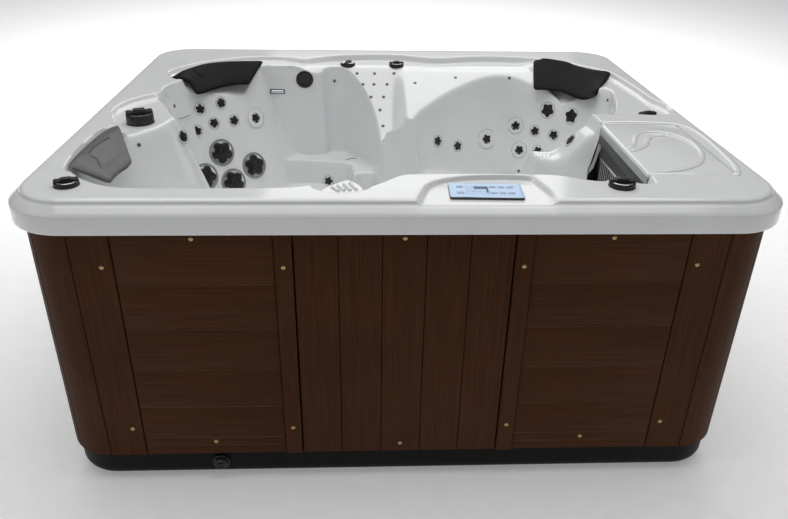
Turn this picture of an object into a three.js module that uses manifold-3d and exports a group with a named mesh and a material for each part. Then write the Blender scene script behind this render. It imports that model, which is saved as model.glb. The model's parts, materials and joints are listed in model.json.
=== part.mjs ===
import * as THREE from 'three';
import { mergeVertices } from 'three/addons/utils/BufferGeometryUtils.js';
import Module from 'manifold-3d';

// A five-seat hot tub: moulded shell, framed cabinet, jets, valves, filter and pumps.
// Millimetres, +Z up, +X right, -Y towards the control panel. The origin is on the floor
// under the middle of the tub.

// Overall size
const OVERALL_WIDTH = 2000;
const OVERALL_DEPTH = 1740;
const OVERALL_HEIGHT = 900;
const HALF_WIDTH = OVERALL_WIDTH / 2;
const HALF_DEPTH = OVERALL_DEPTH / 2;
const HALF_SHARE = 0.5;

// Clearances and overlaps
const TOUCH_GAP = 0.3;
const SLIDE_GAP = 1;
const STEM_GAP = 1.5;
const SEAT_GAP = 2;
const CUT_OVERRUN = 60;
const WELD_LAP = 2;
const POINT_TOLERANCE = 0.0001;
const CUT_TOLERANCE = 0.02;

// Shell sheet and its moulded lip
const SHELL_THICKNESS = 10;
const LIP_CORNER_RADIUS = 165;
const LIP_HEIGHT = 81;
const LIP_BEVEL_DROP = 32;
const LIP_STEP_INSET = 20;
const LIP_STEP_DROP = 16;
const LIP_SHOULDER_INSET = 31;
const LIP_SHOULDER_DROP = 5;
const LIP_FLAT_INSET = 46;
const LIP_THICKNESS = 7;
const LIP_INNER_DROP = 40;
const LIP_INNER_STEP_INSET = 26;
const LIP_INNER_STEP_DROP = 22;

// Depths below the rim
const SHOULDER_DROP = 15;
const LEDGE_DROP = 27;
const PLATFORM_DROP = 16;
const RIDGE_DROP = 48;
const PANEL_RECESS_DROP = 14;
const HEADREST_DROP = 16;
const ARMREST_LOW_DROP = 150;
const ARMREST_HIGH_DROP = 38;
const BENCH_DROP = 400;
const BUCKET_DROP = 500;
const RIGHT_SEAT_DROP = 460;
const FRONT_LEFT_DROP = 445;
const FRONT_RIGHT_DROP = 420;
const SEAT_LINE_DROP = 400;

// Slopes, as rise over run
const SHOULDER_WALL_SLOPE = 4;
const ARMREST_WALL_SLOPE = 6;
const UPPER_WALL_SLOPE = 16;
const RIGHT_UPPER_WALL_SLOPE = 10;
const LEFT_BACKREST_SLOPE = 3;
const RIGHT_BACKREST_SLOPE = 3.6;
const FRONT_BACKREST_SLOPE = 3.3;
const BUCKET_WALL_SLOPE = 7;
const FOOTWELL_WALL_SLOPE = 5;
const HEADREST_SLOPE = 0.65;
const LIGHT_RAMP_SLOPE = 0.92;
const DIVIDER_SLOPE = 0.42;
const RIGHT_FLOOR_SLOPE = 0.36;

// Fillets between surfaces
const WALL_BLEND = 20;
const TRIM_BLEND = 14;
const RIM_BLEND = 12;
const CREST_BLEND = 18;
const EDGE_BLEND = 26;
const SEAT_BLEND = 90;
const BENCH_BLEND = 50;
const STEP_BLEND = 30;

// Places across the tub, as shares of half the width and half the depth
const LEDGE_LEFT_SHARES = [-0.4, -0.3];
const LEDGE_RIGHT_SHARES = [0.56, 0.66];
const SHOULDER_LEFT_SHARES = [-0.4, -0.28];
const SHOULDER_RIGHT_SHARES = [0.6, 0.7];
const DIVIDER_EDGE_SHARES = [0.015, 0.075];
const ARMREST_RISE_SHARES = [0.535, 0.668];
const RIGHT_FLOOR_SHARES = [0.1, 0.44];
const LEDGE_FRONT_SHARE = 0.722;
const DIVIDER_FRONT_SHARE = 0.703;
const LEDGE_TO_RAMP_DROP = 5;

// Outlines seen from above, as shares of half the width and half the depth
const SHOULDER_SHARES = [
  [-0.835, 0.379], [-0.862, 0.471], [-0.846, 0.548], [-0.768, 0.67], [-0.658, 0.759],
  [-0.538, 0.806], [-0.41, 0.791], [-0.352, 0.737], [-0.325, 0.778], [-0.199, 0.844],
  [-0.06, 0.866], [0.06, 0.862], [0.186, 0.793], [0.229, 0.791], [0.32, 0.825], [0.408, 0.843],
  [0.54, 0.833], [0.642, 0.807], [0.739, 0.746], [0.89, 0.566], [0.908, 0.494], [0.93, 0.214],
  [0.93, 0.092], [0.956, 0.023], [0.962, -0.057], [0.93, -0.136], [0.88, -0.146], [0.8, -0.132],
  [0.7, -0.144], [0.56, -0.069], [0.4, 0.23], [0, 0.345], [-0.4, 0.46], [-0.7, 0.299],
];
const PLATFORM_SHARES = [
  [-0.926, -0.126], [-0.918, 0], [-0.88, 0.069], [-0.851, 0.109], [-0.825, 0.138],
  [-0.74, 0.069], [-0.64, -0.115], [-0.65, -0.287], [-0.78, -0.402], [-0.85, -0.328],
  [-0.885, -0.236],
];
const BACK_LEFT_RIM_SHARES = [
  [-0.742, -0.086], [-0.792, 0.043], [-0.835, 0.132], [-0.785, 0.205], [-0.742, 0.271],
  [-0.765, 0.345], [-0.826, 0.379], [-0.78, 0.513], [-0.683, 0.676], [-0.591, 0.72],
  [-0.5, 0.698], [-0.28, 0.693], [-0.262, 0.731], [-0.197, 0.736], [-0.155, 0.714],
  [-0.084, 0.639], [-0.031, 0.517], [-0.009, 0.397], [-0.005, 0.23], [-0.1, -0.115],
  [-0.4, -0.379], [-0.64, -0.345], [-0.712, -0.27], [-0.727, -0.148],
];
const BACK_LEFT_SEAT_SHARES = [
  [-0.6, -0.069], [-0.655, 0.046], [-0.72, 0.126], [-0.8, 0.206], [-0.7, 0.299], [-0.64, 0.354],
  [-0.546, 0.444], [-0.495, 0.5], [-0.454, 0.566], [-0.419, 0.637], [-0.335, 0.689],
  [-0.248, 0.703], [-0.172, 0.694], [-0.105, 0.649], [-0.062, 0.552], [-0.05, 0.46],
  [-0.04, 0.345], [-0.06, -0.069], [-0.4, -0.379], [-0.54, -0.345], [-0.565, -0.195],
];
const BUCKET_SHARES = [
  [-0.56, -0.069], [-0.65, 0.069], [-0.78, 0.172], [-0.74, 0.31], [-0.65, 0.385], [-0.56, 0.477],
  [-0.485, 0.552], [-0.454, 0.58], [-0.373, 0.597], [-0.269, 0.583], [-0.171, 0.555],
  [-0.141, 0.523], [-0.141, 0.345], [-0.15, 0.115], [-0.3, -0.23], [-0.5, -0.287],
];
const BACK_RIGHT_RIM_SHARES = [
  [0.05, 0.23], [0.05, 0.333], [0.086, 0.411], [0.16, 0.494], [0.247, 0.575], [0.295, 0.626],
  [0.403, 0.701], [0.52, 0.747], [0.64, 0.772], [0.739, 0.739], [0.82, 0.661], [0.866, 0.54],
  [0.862, 0.411], [0.841, 0.244], [0.807, 0.082], [0.77, -0.046], [0.7, -0.147], [0.655, -0.155],
  [0.56, -0.115], [0.45, -0.08], [0.25, -0.172], [0, -0.115],
];
const BACK_RIGHT_SEAT_SHARES = [
  [0.14, 0.23], [0.143, 0.322], [0.227, 0.408], [0.31, 0.474], [0.39, 0.523], [0.45, 0.552],
  [0.505, 0.549], [0.56, 0.506], [0.61, 0.455], [0.69, 0.366], [0.735, 0.276], [0.748, 0.172],
  [0.735, 0.069], [0.69, 0], [0.62, -0.009], [0.54, 0.006], [0.47, 0.017], [0.4, 0],
  [0.2, -0.172], [0, -0.057], [0.06, 0.172],
];
const FRONT_LEFT_SHARES = [
  [-0.728, -0.149], [-0.735, -0.218], [-0.775, -0.305], [-0.83, -0.374], [-0.88, -0.425],
  [-0.902, -0.517], [-0.898, -0.644], [-0.872, -0.736], [-0.82, -0.805], [-0.75, -0.856],
  [-0.684, -0.871], [-0.401, -0.87], [-0.26, -0.862], [-0.222, -0.822], [-0.205, -0.747],
  [-0.15, -0.69], [-0.06, -0.598], [-0.1, -0.23], [-0.4, -0.069], [-0.64, -0.069],
];
const FRONT_RIGHT_RIM_SHARES = [
  [-0.11, -0.891], [-0.045, -0.82], [-0.01, -0.772], [0.022, -0.76], [0.346, -0.763],
  [0.43, -0.772], [0.479, -0.81], [0.498, -0.838], [0.522, -0.823], [0.545, -0.809],
  [0.58, -0.809], [0.606, -0.823], [0.625, -0.848], [0.668, -0.848], [0.672, -0.287],
  [0.657, -0.213], [0.6, -0.172], [0.559, -0.115], [0.5, -0.069], [0.43, -0.034], [0.3, -0.057],
  [0, -0.115], [-0.26, -0.46], [-0.22, -0.655], [-0.14, -0.695], [-0.118, -0.747],
];
const FRONT_RIGHT_SEAT_SHARES = [
  [-0.105, -0.879], [-0.045, -0.82], [-0.01, -0.772], [0.022, -0.76], [0.346, -0.763],
  [0.43, -0.772], [0.52, -0.828], [0.788, -0.848], [0.788, -0.287], [0.66, -0.224],
  [0.6, -0.182], [0.559, -0.128], [0.5, -0.08], [0.43, -0.038], [0.3, -0.057], [0, -0.115],
  [-0.26, -0.46], [-0.2, -0.644], [-0.14, -0.69], [-0.112, -0.747],
];
const ARMREST_SHARES = [
  [0.655, -0.264], [0.668, -0.218], [0.655, -0.069], [0.6, 0], [0.4, 0.046], [0.34, -0.069],
  [0.4, -0.23], [0.56, -0.299],
];
const RIDGE_SHARES = [
  [-0.245, -0.86], [-0.2, -0.902], [-0.152, -0.916], [-0.114, -0.899], [-0.08, -0.864],
  [-0.06, -0.644], [-0.15, -0.575], [-0.24, -0.644],
];
const FOOTWELL_SHARES = [
  [-0.43, -0.345], [-0.445, -0.057], [-0.38, 0.138], [-0.25, 0.264], [-0.135, 0.425],
  [-0.05, 0.425], [-0.04, 0.377], [0.02, 0.352], [0.085, 0.287], [0.12, 0.244], [0.165, 0.218],
  [0.33, 0.172], [0.44, -0.023], [0.44, -0.345], [0.25, -0.494], [-0.18, -0.494],
];
const BACK_LEFT_HEADREST_SHARES = [
  [-0.838, 0.366], [-0.792, 0.517], [-0.693, 0.68], [-0.597, 0.731], [-0.503, 0.71],
  [-0.497, 0.678], [-0.35, 0.517], [-0.4, 0.115], [-0.6, 0.057], [-0.7, 0.23], [-0.758, 0.345],
];
const BACK_RIGHT_HEADREST_SHARES = [
  [0.604, 0.772], [0.7, 0.729], [0.776, 0.671], [0.842, 0.584], [0.884, 0.483], [0.85, 0.368],
  [0.7, 0.115], [0.48, 0.287], [0.56, 0.552], [0.59, 0.69],
];
const FRONT_LEFT_HEADREST_SHARES = [
  [-0.893, -0.736], [-0.906, -0.644], [-0.912, -0.517], [-0.906, -0.402], [-0.893, -0.328],
  [-0.868, -0.306], [-0.838, -0.322], [-0.8, -0.402], [-0.5, -0.46], [-0.5, -0.747],
  [-0.82, -0.768],
];
const PANEL_RECESS_SHARES = [
  [0.077, -0.783], [0.027, -0.962], [0.02, -1.034], [0.39, -1.034], [0.373, -0.986],
  [0.372, -0.894], [0.353, -0.821], [0.343, -0.766],
];

// Grid of the shell: stations along each straight side, as shares of its half length, and
// the steps round a corner and out from the footwell's middle.
const FRONT_STATION_SHARES = [-1, -0.86, -0.7, -0.54, -0.41, -0.31, -0.24, -0.18, -0.12, -0.04,
  0.08, 0.22, 0.36, 0.48, 0.58, 0.7, 0.85, 1];
const RIGHT_STATION_SHARES = [-1, -0.8, -0.6, -0.46, -0.37, -0.3, -0.24, -0.18, -0.12, -0.06, 0,
  0.1, 0.26, 0.44, 0.62, 0.8, 1];
const BACK_STATION_SHARES = [-1, -0.82, -0.64, -0.49, -0.37, -0.27, -0.18, -0.1, -0.03, 0.05,
  0.13, 0.22, 0.33, 0.47, 0.63, 0.8, 1];
const LEFT_STATION_SHARES = [-1, -0.8, -0.6, -0.43, -0.3, -0.18, -0.08, 0.02, 0.12, 0.22, 0.32,
  0.44, 0.6, 0.8, 1];
const CORNER_STEPS = 4;
const RAY_STATIONS = 11;
const RAY_SAMPLES = 160;
const BEND_WEIGHT = 110;
const GRID_CENTRE_SHARES = [0, -0.069];
const SLOPE_PROBE = 2;
const WALL_SEARCH_ROUNDS = 40;
const WALL_SEARCH_STRIDE = 30;

// Base pan
const PAN_INSET = 38;
const PAN_HEIGHT = 101;
const PAN_WALL = 12;
const PAN_FLOOR = 12;
const SKID_HEIGHT = 8;
const SKID_INSET = 30;
const SKID_SHARES = [[-0.82, -0.51], [-0.246, 0.24], [0.495, 0.82]];
const FOOTWELL_FLOOR = PAN_HEIGHT + TOUCH_GAP + SHELL_THICKNESS;

// Timber frame
const FRAME_INSET = PAN_INSET + PAN_WALL + TOUCH_GAP;
const FRAME_RAIL_WIDTH = 26;
const FRAME_RAIL_HEIGHT = 42;
const FRAME_POST_WIDTH = 44;
const FRAME_PAD_WIDTH = 20;
const FRAME_CORNER_GAP = 3;
const DECK_BEARING_INSET = FRAME_INSET + FRAME_PAD_WIDTH + SLIDE_GAP;
const JOIST_WIDTH = 44;
const JOIST_SHARES = [-0.29, -0.06, 0.16];
const FRONT_PAD_SHARES = [-0.5, 0.46];
const BACK_PAD_SHARES = [-0.5, 0, 0.5];
const LEFT_PAD_SHARES = [-0.57, 0.38];
const RIGHT_PAD_SHARES = [-0.52, 0.5];

// Cabinet panels
const SKIRT_INSET = 26;
const SKIRT_THICKNESS = 20;
const SKIRT_TOP_DROP = 40;
const CORNER_PANEL_SPAN = 269;
const CENTRE_PANEL_SHARE = 0.386;
const PANEL_SEAM = 3;
const PLANK_LINE_SHARES = [0.045, 0.085, 0.24, 0.415, 0.6, 0.79];
const PLANK_GROOVE = 5;
const PLANK_GROOVE_DEPTH = 3;
const BOARD_COUNT = 5;
const BATTEN_WIDTH = 46;
const BATTEN_PROUD = 5;
const CORNER_PANEL_STEPS = 10;

// Hydrotherapy jets with turning faces: shares of half width and half depth, then the
// depth of the middle below the rim.
const BIG_JET = { flange: 55, face: 43, thickness: 11, dome: 9, stem: 30, length: 70, star: 38 };
const MEDIUM_JET = { flange: 31, face: 23, thickness: 7, dome: 3, stem: 16, length: 50, star: 20 };
const NECK_JET = { flange: 37, face: 29, thickness: 8, dome: 5, stem: 20, length: 50, star: 25 };
const JET_SEAT_DEPTH = 3;
const STAR_POINTS = 5;
const STAR_VALLEY_SHARE = 0.62;
const STAR_HEIGHT_SHARE = 0.5;
const BIG_JET_SHARES = [[-0.667, 0.383], [-0.551, 0.453], [-0.727, 0.295], [-0.629, 0.363]];
const BIG_JET_DROPS = [300, 378, 373, 418];
const MEDIUM_JET_SHARES = [[0.662, 0.515], [0.74, 0.424]];
const MEDIUM_JET_DROP = 155;
const NECK_JET_SHARES = [-0.345, 0.685];
const NECK_JET_DROP = 74;

// Valve knobs on the deck
const TALL_KNOB = { radius: 45, height: 34, lever: 16, leverHeight: 16, stem: 16, length: 60 };
const LOW_KNOB = { radius: 32, height: 13, lever: 12, leverHeight: 10, stem: 11, length: 45 };
const WIDE_KNOB = { radius: 35, height: 15, lever: 13, leverHeight: 11, stem: 12, length: 45 };
const KNOB_SEAT_DEPTH = 2;
const KNOB_TAPER_SHARE = 0.9;
const KNOB_LEVER_SHARE = 0.96;
const KNOBS = [
  { name: 'diverter_knob_left', size: TALL_KNOB, shares: [-0.812, -0.207] },
  { name: 'diverter_knob_front_left', size: LOW_KNOB, shares: [-0.846, -0.854] },
  { name: 'diverter_knob_front_right', size: WIDE_KNOB, shares: [0.562, -0.862] },
  { name: 'air_knob_back_left', size: LOW_KNOB, shares: [-0.165, 0.76] },
  { name: 'air_knob_back_right', size: LOW_KNOB, shares: [0.041, 0.753] },
  { name: 'air_knob_right', size: LOW_KNOB, shares: [0.863, -0.103] },
];

// Headrest cushions: top and bottom edges as shares of half width, half depth and height
const CUSHION_THICKNESS = 26;
const CUSHION_CROWN = 10;
const CUSHION_CHANNEL_DEPTH = 3;
const CUSHION_END_SHARPNESS = 8;
const CUSHION_CHANNEL_SHARE = 0.62;
const CUSHION_CHANNEL_WIDTH_SHARE = 0.1;
const CUSHION_CUT_GAP = 0.6;
const CUSHION_LENGTH_STEPS = 10;
const CUSHION_WIDTH_STEPS = 6;
const CUSHION_END_SHARES = [0, 0.02, 0.07];
const CUSHIONS = [
  {
    name: 'headrest_back_left',
    topShares: [[-0.815, 0.385, 0.995], [-0.772, 0.512, 0.995], [-0.678, 0.668, 0.995],
      [-0.591, 0.711, 0.99], [-0.515, 0.695, 0.985]],
    bottomShares: [[-0.79, 0.372, 0.965], [-0.735, 0.447, 0.925], [-0.688, 0.53, 0.922],
      [-0.599, 0.592, 0.922], [-0.52, 0.612, 0.935]],
  },
  {
    name: 'headrest_back_right',
    topShares: [[0.614, 0.745, 0.988], [0.69, 0.71, 0.988], [0.766, 0.655, 0.988],
      [0.825, 0.575, 0.988], [0.868, 0.492, 0.988]],
    bottomShares: [[0.6, 0.592, 0.91], [0.648, 0.54, 0.905], [0.69, 0.472, 0.902],
      [0.728, 0.4, 0.902], [0.79, 0.372, 0.91]],
  },
  {
    name: 'headrest_front_left',
    topShares: [[-0.878, -0.695, 0.99], [-0.899, -0.6, 0.99], [-0.901, -0.49, 0.99],
      [-0.893, -0.4, 0.99], [-0.868, -0.33, 0.992]],
    bottomShares: [[-0.802, -0.655, 0.93], [-0.79, -0.595, 0.925], [-0.78, -0.52, 0.925],
      [-0.79, -0.448, 0.93], [-0.812, -0.402, 0.945]],
  },
];

// Control panel
const PANEL = { width: 188, depth: 94, thickness: 10, corner: 8 };
const PANEL_SHARES = [0.208, -0.874];
const PANEL_TURN_DEGREES = -2;
const PANEL_SEAT_DEPTH = 3;
const KEY = { width: 17, depth: 13, height: 4, proud: 0.8, travel: 0.8 };
const KEY_COLUMN_SHARES = [-0.7, 0.2, 0.44, 0.68];
const KEY_ROW_SHARES = [0.42, -0.4];

// Filter compartment
const WELL_SIDE_SHARES = [0.668, 0.905];
const WELL_LENGTH_SHARES = [-0.77, -0.264];
const WELL_DEPTH = 350;
const MOUTH_SILL_DROP = 250;
const MOUTH_TOP_DROP = 62;
const MOUTH_END_MARGIN = 26;
const WELL_REACH = 32;
const HOUSING_WALL = 6;
const HOUSING_FLANGE = 18;
const HOUSING_FLANGE_START = 136;
const HOUSING_LEDGE = 8;
const GRILLE_BARS = 9;
const GRILLE_BAR_WIDTH = 7;
const WEIR_THICKNESS = 5;
const WEIR_HINGE_RADIUS = 5;
const WEIR_DROP = 150;
const LID_PROUD = 1;
const LID_SKIRT_THICKNESS = 5;
const CARTRIDGE = { radius: 74, core: 22, cap: 12, pleats: 18, pleatShare: 0.86 };

// Water paths
const SUCTION = { radius: 52, thickness: 10, stem: 25, length: 60 };
const SUCTION_SHARES = [[-0.18, -0.47], [0.22, -0.47]];
const SUCTION_HEIGHT = 210;
const FLOOR_DRAIN = { radius: 36, thickness: 5, stem: 18, length: 9 };
const FLOOR_DRAIN_SHARES = [-0.02, -0.14];
const SPOUT = { width: 52, height: 18, thickness: 6, depth: 48, lip: 4 };
const SPOUT_SHARES = [-0.461, 0.68];
const SPOUT_DROP = 138;
const DRAIN_CAP = { radius: 26, thickness: 18, stem: 14, length: 11 };
const DRAIN_CAP_SHARE = -0.524;
const DRAIN_CAP_HEIGHT = 62;
const GLAND = { radius: 17, thickness: 12, stem: 11, length: 11 };
const GLAND_SHARE = 0.7;

// Equipment bay behind the front panel
const PUMP = { motor: 82, motorLength: 300, bell: 60, wet: 105, wetLength: 90, foot: 12, footWidth: 150 };
const PUMP_SHARES = [[-0.42, -0.69], [0.62, -0.69]];
const PUMP_PIPE = 26;
const PUMP_PIPE_LENGTH = 60;
const HEATER = { radius: 38, length: 380, collar: 52, collarWidth: 22, saddle: 46 };
const HEATER_SHARES = [0.1, -0.62];
const CONTROL_BOX = { width: 400, depth: 110, height: 250, corner: 12 };
const CONTROL_BOX_SHARE = 0.1;
const RAIL_CLEARANCE = 16;
const BLOWER = { radius: 78, height: 150, neck: 25, neckHeight: 50 };
const BLOWER_SHARES = [-0.8, -0.62];
const HOLE_SIDES = 12;
const ROUND_SIDES = 16;
const FINE_SIDES = 20;

const UP = new THREE.Vector3(0, 0, 1);
const wasm = await Module();
wasm.setup();

// Solids

function toSolid(geometry, tolerance = POINT_TOLERANCE) {
  const bare = geometry.index ? geometry.toNonIndexed() : geometry.clone();
  bare.deleteAttribute('normal');
  bare.deleteAttribute('uv');
  const merged = mergeVertices(bare, tolerance);
  const corners = merged.index.array;
  const triangles = [];
  for (let i = 0; i < corners.length; i += 3) {
    const [a, b, c] = [corners[i], corners[i + 1], corners[i + 2]];
    if (a !== b && b !== c && c !== a) triangles.push(a, b, c);
  }
  return new wasm.Manifold(new wasm.Mesh({
    numProp: 3,
    vertProperties: new Float32Array(merged.attributes.position.array),
    triVerts: new Uint32Array(triangles),
  }));
}

function toGeometry(solid) {
  const mesh = solid.getMesh();
  const geometry = new THREE.BufferGeometry();
  geometry.setAttribute('position', new THREE.BufferAttribute(new Float32Array(mesh.vertProperties), 3));
  geometry.setIndex(new THREE.BufferAttribute(new Uint32Array(mesh.triVerts), 1));
  geometry.computeVertexNormals();
  return geometry;
}

function block(x, y, z) {
  const geometry = new THREE.BoxGeometry(x[1] - x[0], y[1] - y[0], z[1] - z[0]);
  geometry.translate((x[0] + x[1]) / 2, (y[0] + y[1]) / 2, (z[0] + z[1]) / 2);
  return toSolid(geometry);
}

// A turned solid: the profile runs from axis to axis as [radius, height] pairs.
function turned(profile, sides, base = new THREE.Vector3(), axis = UP) {
  const points = profile.map(([radius, height]) => new THREE.Vector2(radius, height));
  const geometry = new THREE.LatheGeometry(points, sides);
  const turn = new THREE.Quaternion().setFromUnitVectors(new THREE.Vector3(0, 1, 0), axis);
  geometry.applyQuaternion(turn);
  geometry.translate(base.x, base.y, base.z);
  return toSolid(geometry);
}

function rod(radius, from, to, sides, base, axis) {
  return turned([[0, from], [radius, from], [radius, to], [0, to]], sides, base, axis);
}

function plate(points, from, to) {
  const shape = new THREE.Shape(points.map(([x, y]) => new THREE.Vector2(x, y)));
  const geometry = new THREE.ExtrudeGeometry(shape, { depth: to - from, bevelEnabled: false });
  geometry.translate(0, 0, from);
  return toSolid(geometry);
}

function fused(parts) {
  return parts.reduce((whole, part) => whole.add(part));
}

const FINISHES = {
  acrylic: { color: 0xf2f3f2, roughness: 0.12, metalness: 0 },
  woodgrain: { color: 0x2e1510, roughness: 0.5, metalness: 0 },
  black: { color: 0x141414, roughness: 0.45, metalness: 0 },
  grey: { color: 0x5c6064, roughness: 0.5, metalness: 0 },
  foam: { color: 0x2b2d2f, roughness: 0.35, metalness: 0 },
  film: { color: 0xb9d4ee, roughness: 0.2, metalness: 0 },
  timber: { color: 0xb08a5a, roughness: 0.8, metalness: 0 },
  steel: { color: 0xb9bcc0, roughness: 0.25, metalness: 1 },
  paper: { color: 0xe6e8ea, roughness: 0.9, metalness: 0 },
};

function piece(name, solid, finish) {
  const clean = toSolid(toGeometry(solid), CUT_TOLERANCE);
  const mesh = new THREE.Mesh(toGeometry(clean), new THREE.MeshStandardMaterial(FINISHES[finish]));
  mesh.name = name;
  return mesh;
}

// Shell surface

const clamp = (value, low, high) => Math.min(Math.max(value, low), high);

function step(from, to, value) {
  const share = clamp((value - from) / (to - from), 0, 1);
  return share * share * (3 - 2 * share);
}

function smoothMin(a, b, blend) {
  const share = clamp((1 + (b - a) / blend) / 2, 0, 1);
  return b * (1 - share) + a * share - blend * share * (1 - share);
}

const smoothMax = (a, b, blend) => -smoothMin(-a, -b, blend);

// Corner cutting rounds an outline twice.
function rounded(points) {
  const near = 1 / 4;
  return points.flatMap(([x, y], i) => {
    const [nextX, nextY] = points[(i + 1) % points.length];
    return [
      [x + (nextX - x) * near, y + (nextY - y) * near],
      [nextX + (x - nextX) * near, nextY + (y - nextY) * near],
    ];
  });
}

function outline(shares) {
  const points = shares.map(([x, y]) => [x * HALF_WIDTH, y * HALF_DEPTH]);
  return rounded(rounded(points));
}

// Distance to an outline, negative inside it.
function distanceTo(points, x, y) {
  let nearest = Infinity;
  let side = 1;
  for (let i = 0, j = points.length - 1; i < points.length; j = i, i += 1) {
    const [ax, ay] = points[i];
    const [bx, by] = points[j];
    const [ex, ey, wx, wy] = [bx - ax, by - ay, x - ax, y - ay];
    const along = clamp((wx * ex + wy * ey) / (ex * ex + ey * ey), 0, 1);
    nearest = Math.min(nearest, Math.hypot(wx - ex * along, wy - ey * along));
    const above = y >= ay;
    const below = y < by;
    const left = ex * wy > ey * wx;
    if ((above && below && left) || (!above && !below && !left)) side = -side;
  }
  return side * nearest;
}

function wall(shares, slope, drop = 0) {
  const points = outline(shares);
  const lean = Math.hypot(1, 1 / slope);
  return (x, y, grow) => OVERALL_HEIGHT - drop + slope * (distanceTo(points, x, y) - grow * lean);
}

const level = (drop) => () => OVERALL_HEIGHT - drop;
const acrossShare = (shares, x) => step(shares[0] * HALF_WIDTH, shares[1] * HALF_WIDTH, x);

// The shoulder's floor dips to the middle ledge, then runs down as the light ramp on the
// left of the divider and as the rounded divider on its right.
function shoulderFloor(x, y) {
  const ledge = acrossShare(LEDGE_LEFT_SHARES, x) * (1 - acrossShare(LEDGE_RIGHT_SHARES, x));
  const top = OVERALL_HEIGHT - SHOULDER_DROP - (LEDGE_DROP - SHOULDER_DROP) * ledge;
  const start = OVERALL_HEIGHT - LEDGE_DROP - LEDGE_TO_RAMP_DROP;
  const ramp = start - LIGHT_RAMP_SLOPE * (LEDGE_FRONT_SHARE * HALF_DEPTH - y);
  const nose = start - DIVIDER_SLOPE * (DIVIDER_FRONT_SHARE * HALF_DEPTH - y);
  const middle = ramp + (nose - ramp) * acrossShare(DIVIDER_EDGE_SHARES, x);
  const ends = 1 - acrossShare(SHOULDER_LEFT_SHARES, x) + acrossShare(SHOULDER_RIGHT_SHARES, x);
  return smoothMin(middle + (OVERALL_HEIGHT - SHOULDER_DROP - middle) * ends, top, TRIM_BLEND);
}

function armrestTop(x) {
  const rise = ARMREST_LOW_DROP - ARMREST_HIGH_DROP;
  return OVERALL_HEIGHT - ARMREST_LOW_DROP + rise * acrossShare(ARMREST_RISE_SHARES, x);
}

function rightSeatFloor(x) {
  const [from, to] = RIGHT_FLOOR_SHARES.map((share) => share * HALF_WIDTH);
  return OVERALL_HEIGHT - RIGHT_SEAT_DROP + RIGHT_FLOOR_SLOPE * clamp(to - x, 0, to - from);
}

function headrestCavity(shares) {
  const points = outline(shares);
  return {
    walls: [wall(shares, ARMREST_WALL_SLOPE)],
    floor: (x, y) => OVERALL_HEIGHT - HEADREST_DROP + HEADREST_SLOPE * distanceTo(points, x, y),
    floorBlend: RIM_BLEND,
    edgeBlend: RIM_BLEND,
  };
}

function cavity(walls, floor, floorBlend, edgeBlend) {
  return { walls, floor, floorBlend, edgeBlend };
}

const CAVITIES = [
  cavity([wall(SHOULDER_SHARES, SHOULDER_WALL_SLOPE)], shoulderFloor, TRIM_BLEND, RIM_BLEND),
  cavity([wall(PLATFORM_SHARES, SHOULDER_WALL_SLOPE)], level(PLATFORM_DROP), RIM_BLEND, RIM_BLEND),
  cavity([wall(PANEL_RECESS_SHARES, SHOULDER_WALL_SLOPE)], level(PANEL_RECESS_DROP), RIM_BLEND, RIM_BLEND),
  cavity([wall(ARMREST_SHARES, ARMREST_WALL_SLOPE)], armrestTop, WALL_BLEND, CREST_BLEND),
  cavity([wall(RIDGE_SHARES, SHOULDER_WALL_SLOPE)], level(RIDGE_DROP), WALL_BLEND, CREST_BLEND),
  headrestCavity(BACK_LEFT_HEADREST_SHARES),
  headrestCavity(BACK_RIGHT_HEADREST_SHARES),
  headrestCavity(FRONT_LEFT_HEADREST_SHARES),
  cavity([
    wall(BACK_LEFT_RIM_SHARES, UPPER_WALL_SLOPE),
    wall(BACK_LEFT_SEAT_SHARES, LEFT_BACKREST_SLOPE, SEAT_LINE_DROP),
  ], level(BENCH_DROP), BENCH_BLEND, EDGE_BLEND),
  cavity([
    wall(BACK_RIGHT_RIM_SHARES, RIGHT_UPPER_WALL_SLOPE),
    wall(BACK_RIGHT_SEAT_SHARES, RIGHT_BACKREST_SLOPE, SEAT_LINE_DROP),
  ], rightSeatFloor, BENCH_BLEND, EDGE_BLEND),
  cavity([wall(FRONT_LEFT_SHARES, LEFT_BACKREST_SLOPE)], level(FRONT_LEFT_DROP), SEAT_BLEND, EDGE_BLEND),
  cavity([
    wall(FRONT_RIGHT_RIM_SHARES, RIGHT_UPPER_WALL_SLOPE),
    wall(FRONT_RIGHT_SEAT_SHARES, FRONT_BACKREST_SLOPE),
  ], level(FRONT_RIGHT_DROP), SEAT_BLEND, EDGE_BLEND),
  cavity([
    wall(BUCKET_SHARES, BUCKET_WALL_SLOPE, SEAT_LINE_DROP),
    wall(BACK_LEFT_SEAT_SHARES, LEFT_BACKREST_SLOPE, SEAT_LINE_DROP),
  ], level(BUCKET_DROP), BENCH_BLEND, WALL_BLEND),
  cavity([
    wall(FOOTWELL_SHARES, FOOTWELL_WALL_SLOPE, SEAT_LINE_DROP),
  ], () => FOOTWELL_FLOOR, SEAT_BLEND, STEP_BLEND),
];

// Height of the top skin, or of the under skin where grow is the sheet's thickness.
function skinHeight(x, y, grow = 0, rim = OVERALL_HEIGHT - grow) {
  return CAVITIES.reduce((height, { walls, floor, floorBlend, edgeBlend }) => {
    const side = walls.map((at) => at(x, y, grow)).reduce((a, b) => smoothMax(a, b, WALL_BLEND));
    return smoothMin(height, smoothMax(side, floor(x, y) - grow, floorBlend), edgeBlend);
  }, rim);
}

// The sheet's top slope at a point, as rise over x and over y.
function skinSlope(x, y) {
  const across = skinHeight(x + SLOPE_PROBE, y) - skinHeight(x - SLOPE_PROBE, y);
  const along = skinHeight(x, y + SLOPE_PROBE) - skinHeight(x, y - SLOPE_PROBE);
  return new THREE.Vector2(across, along).divideScalar(2 * SLOPE_PROBE);
}

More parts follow.
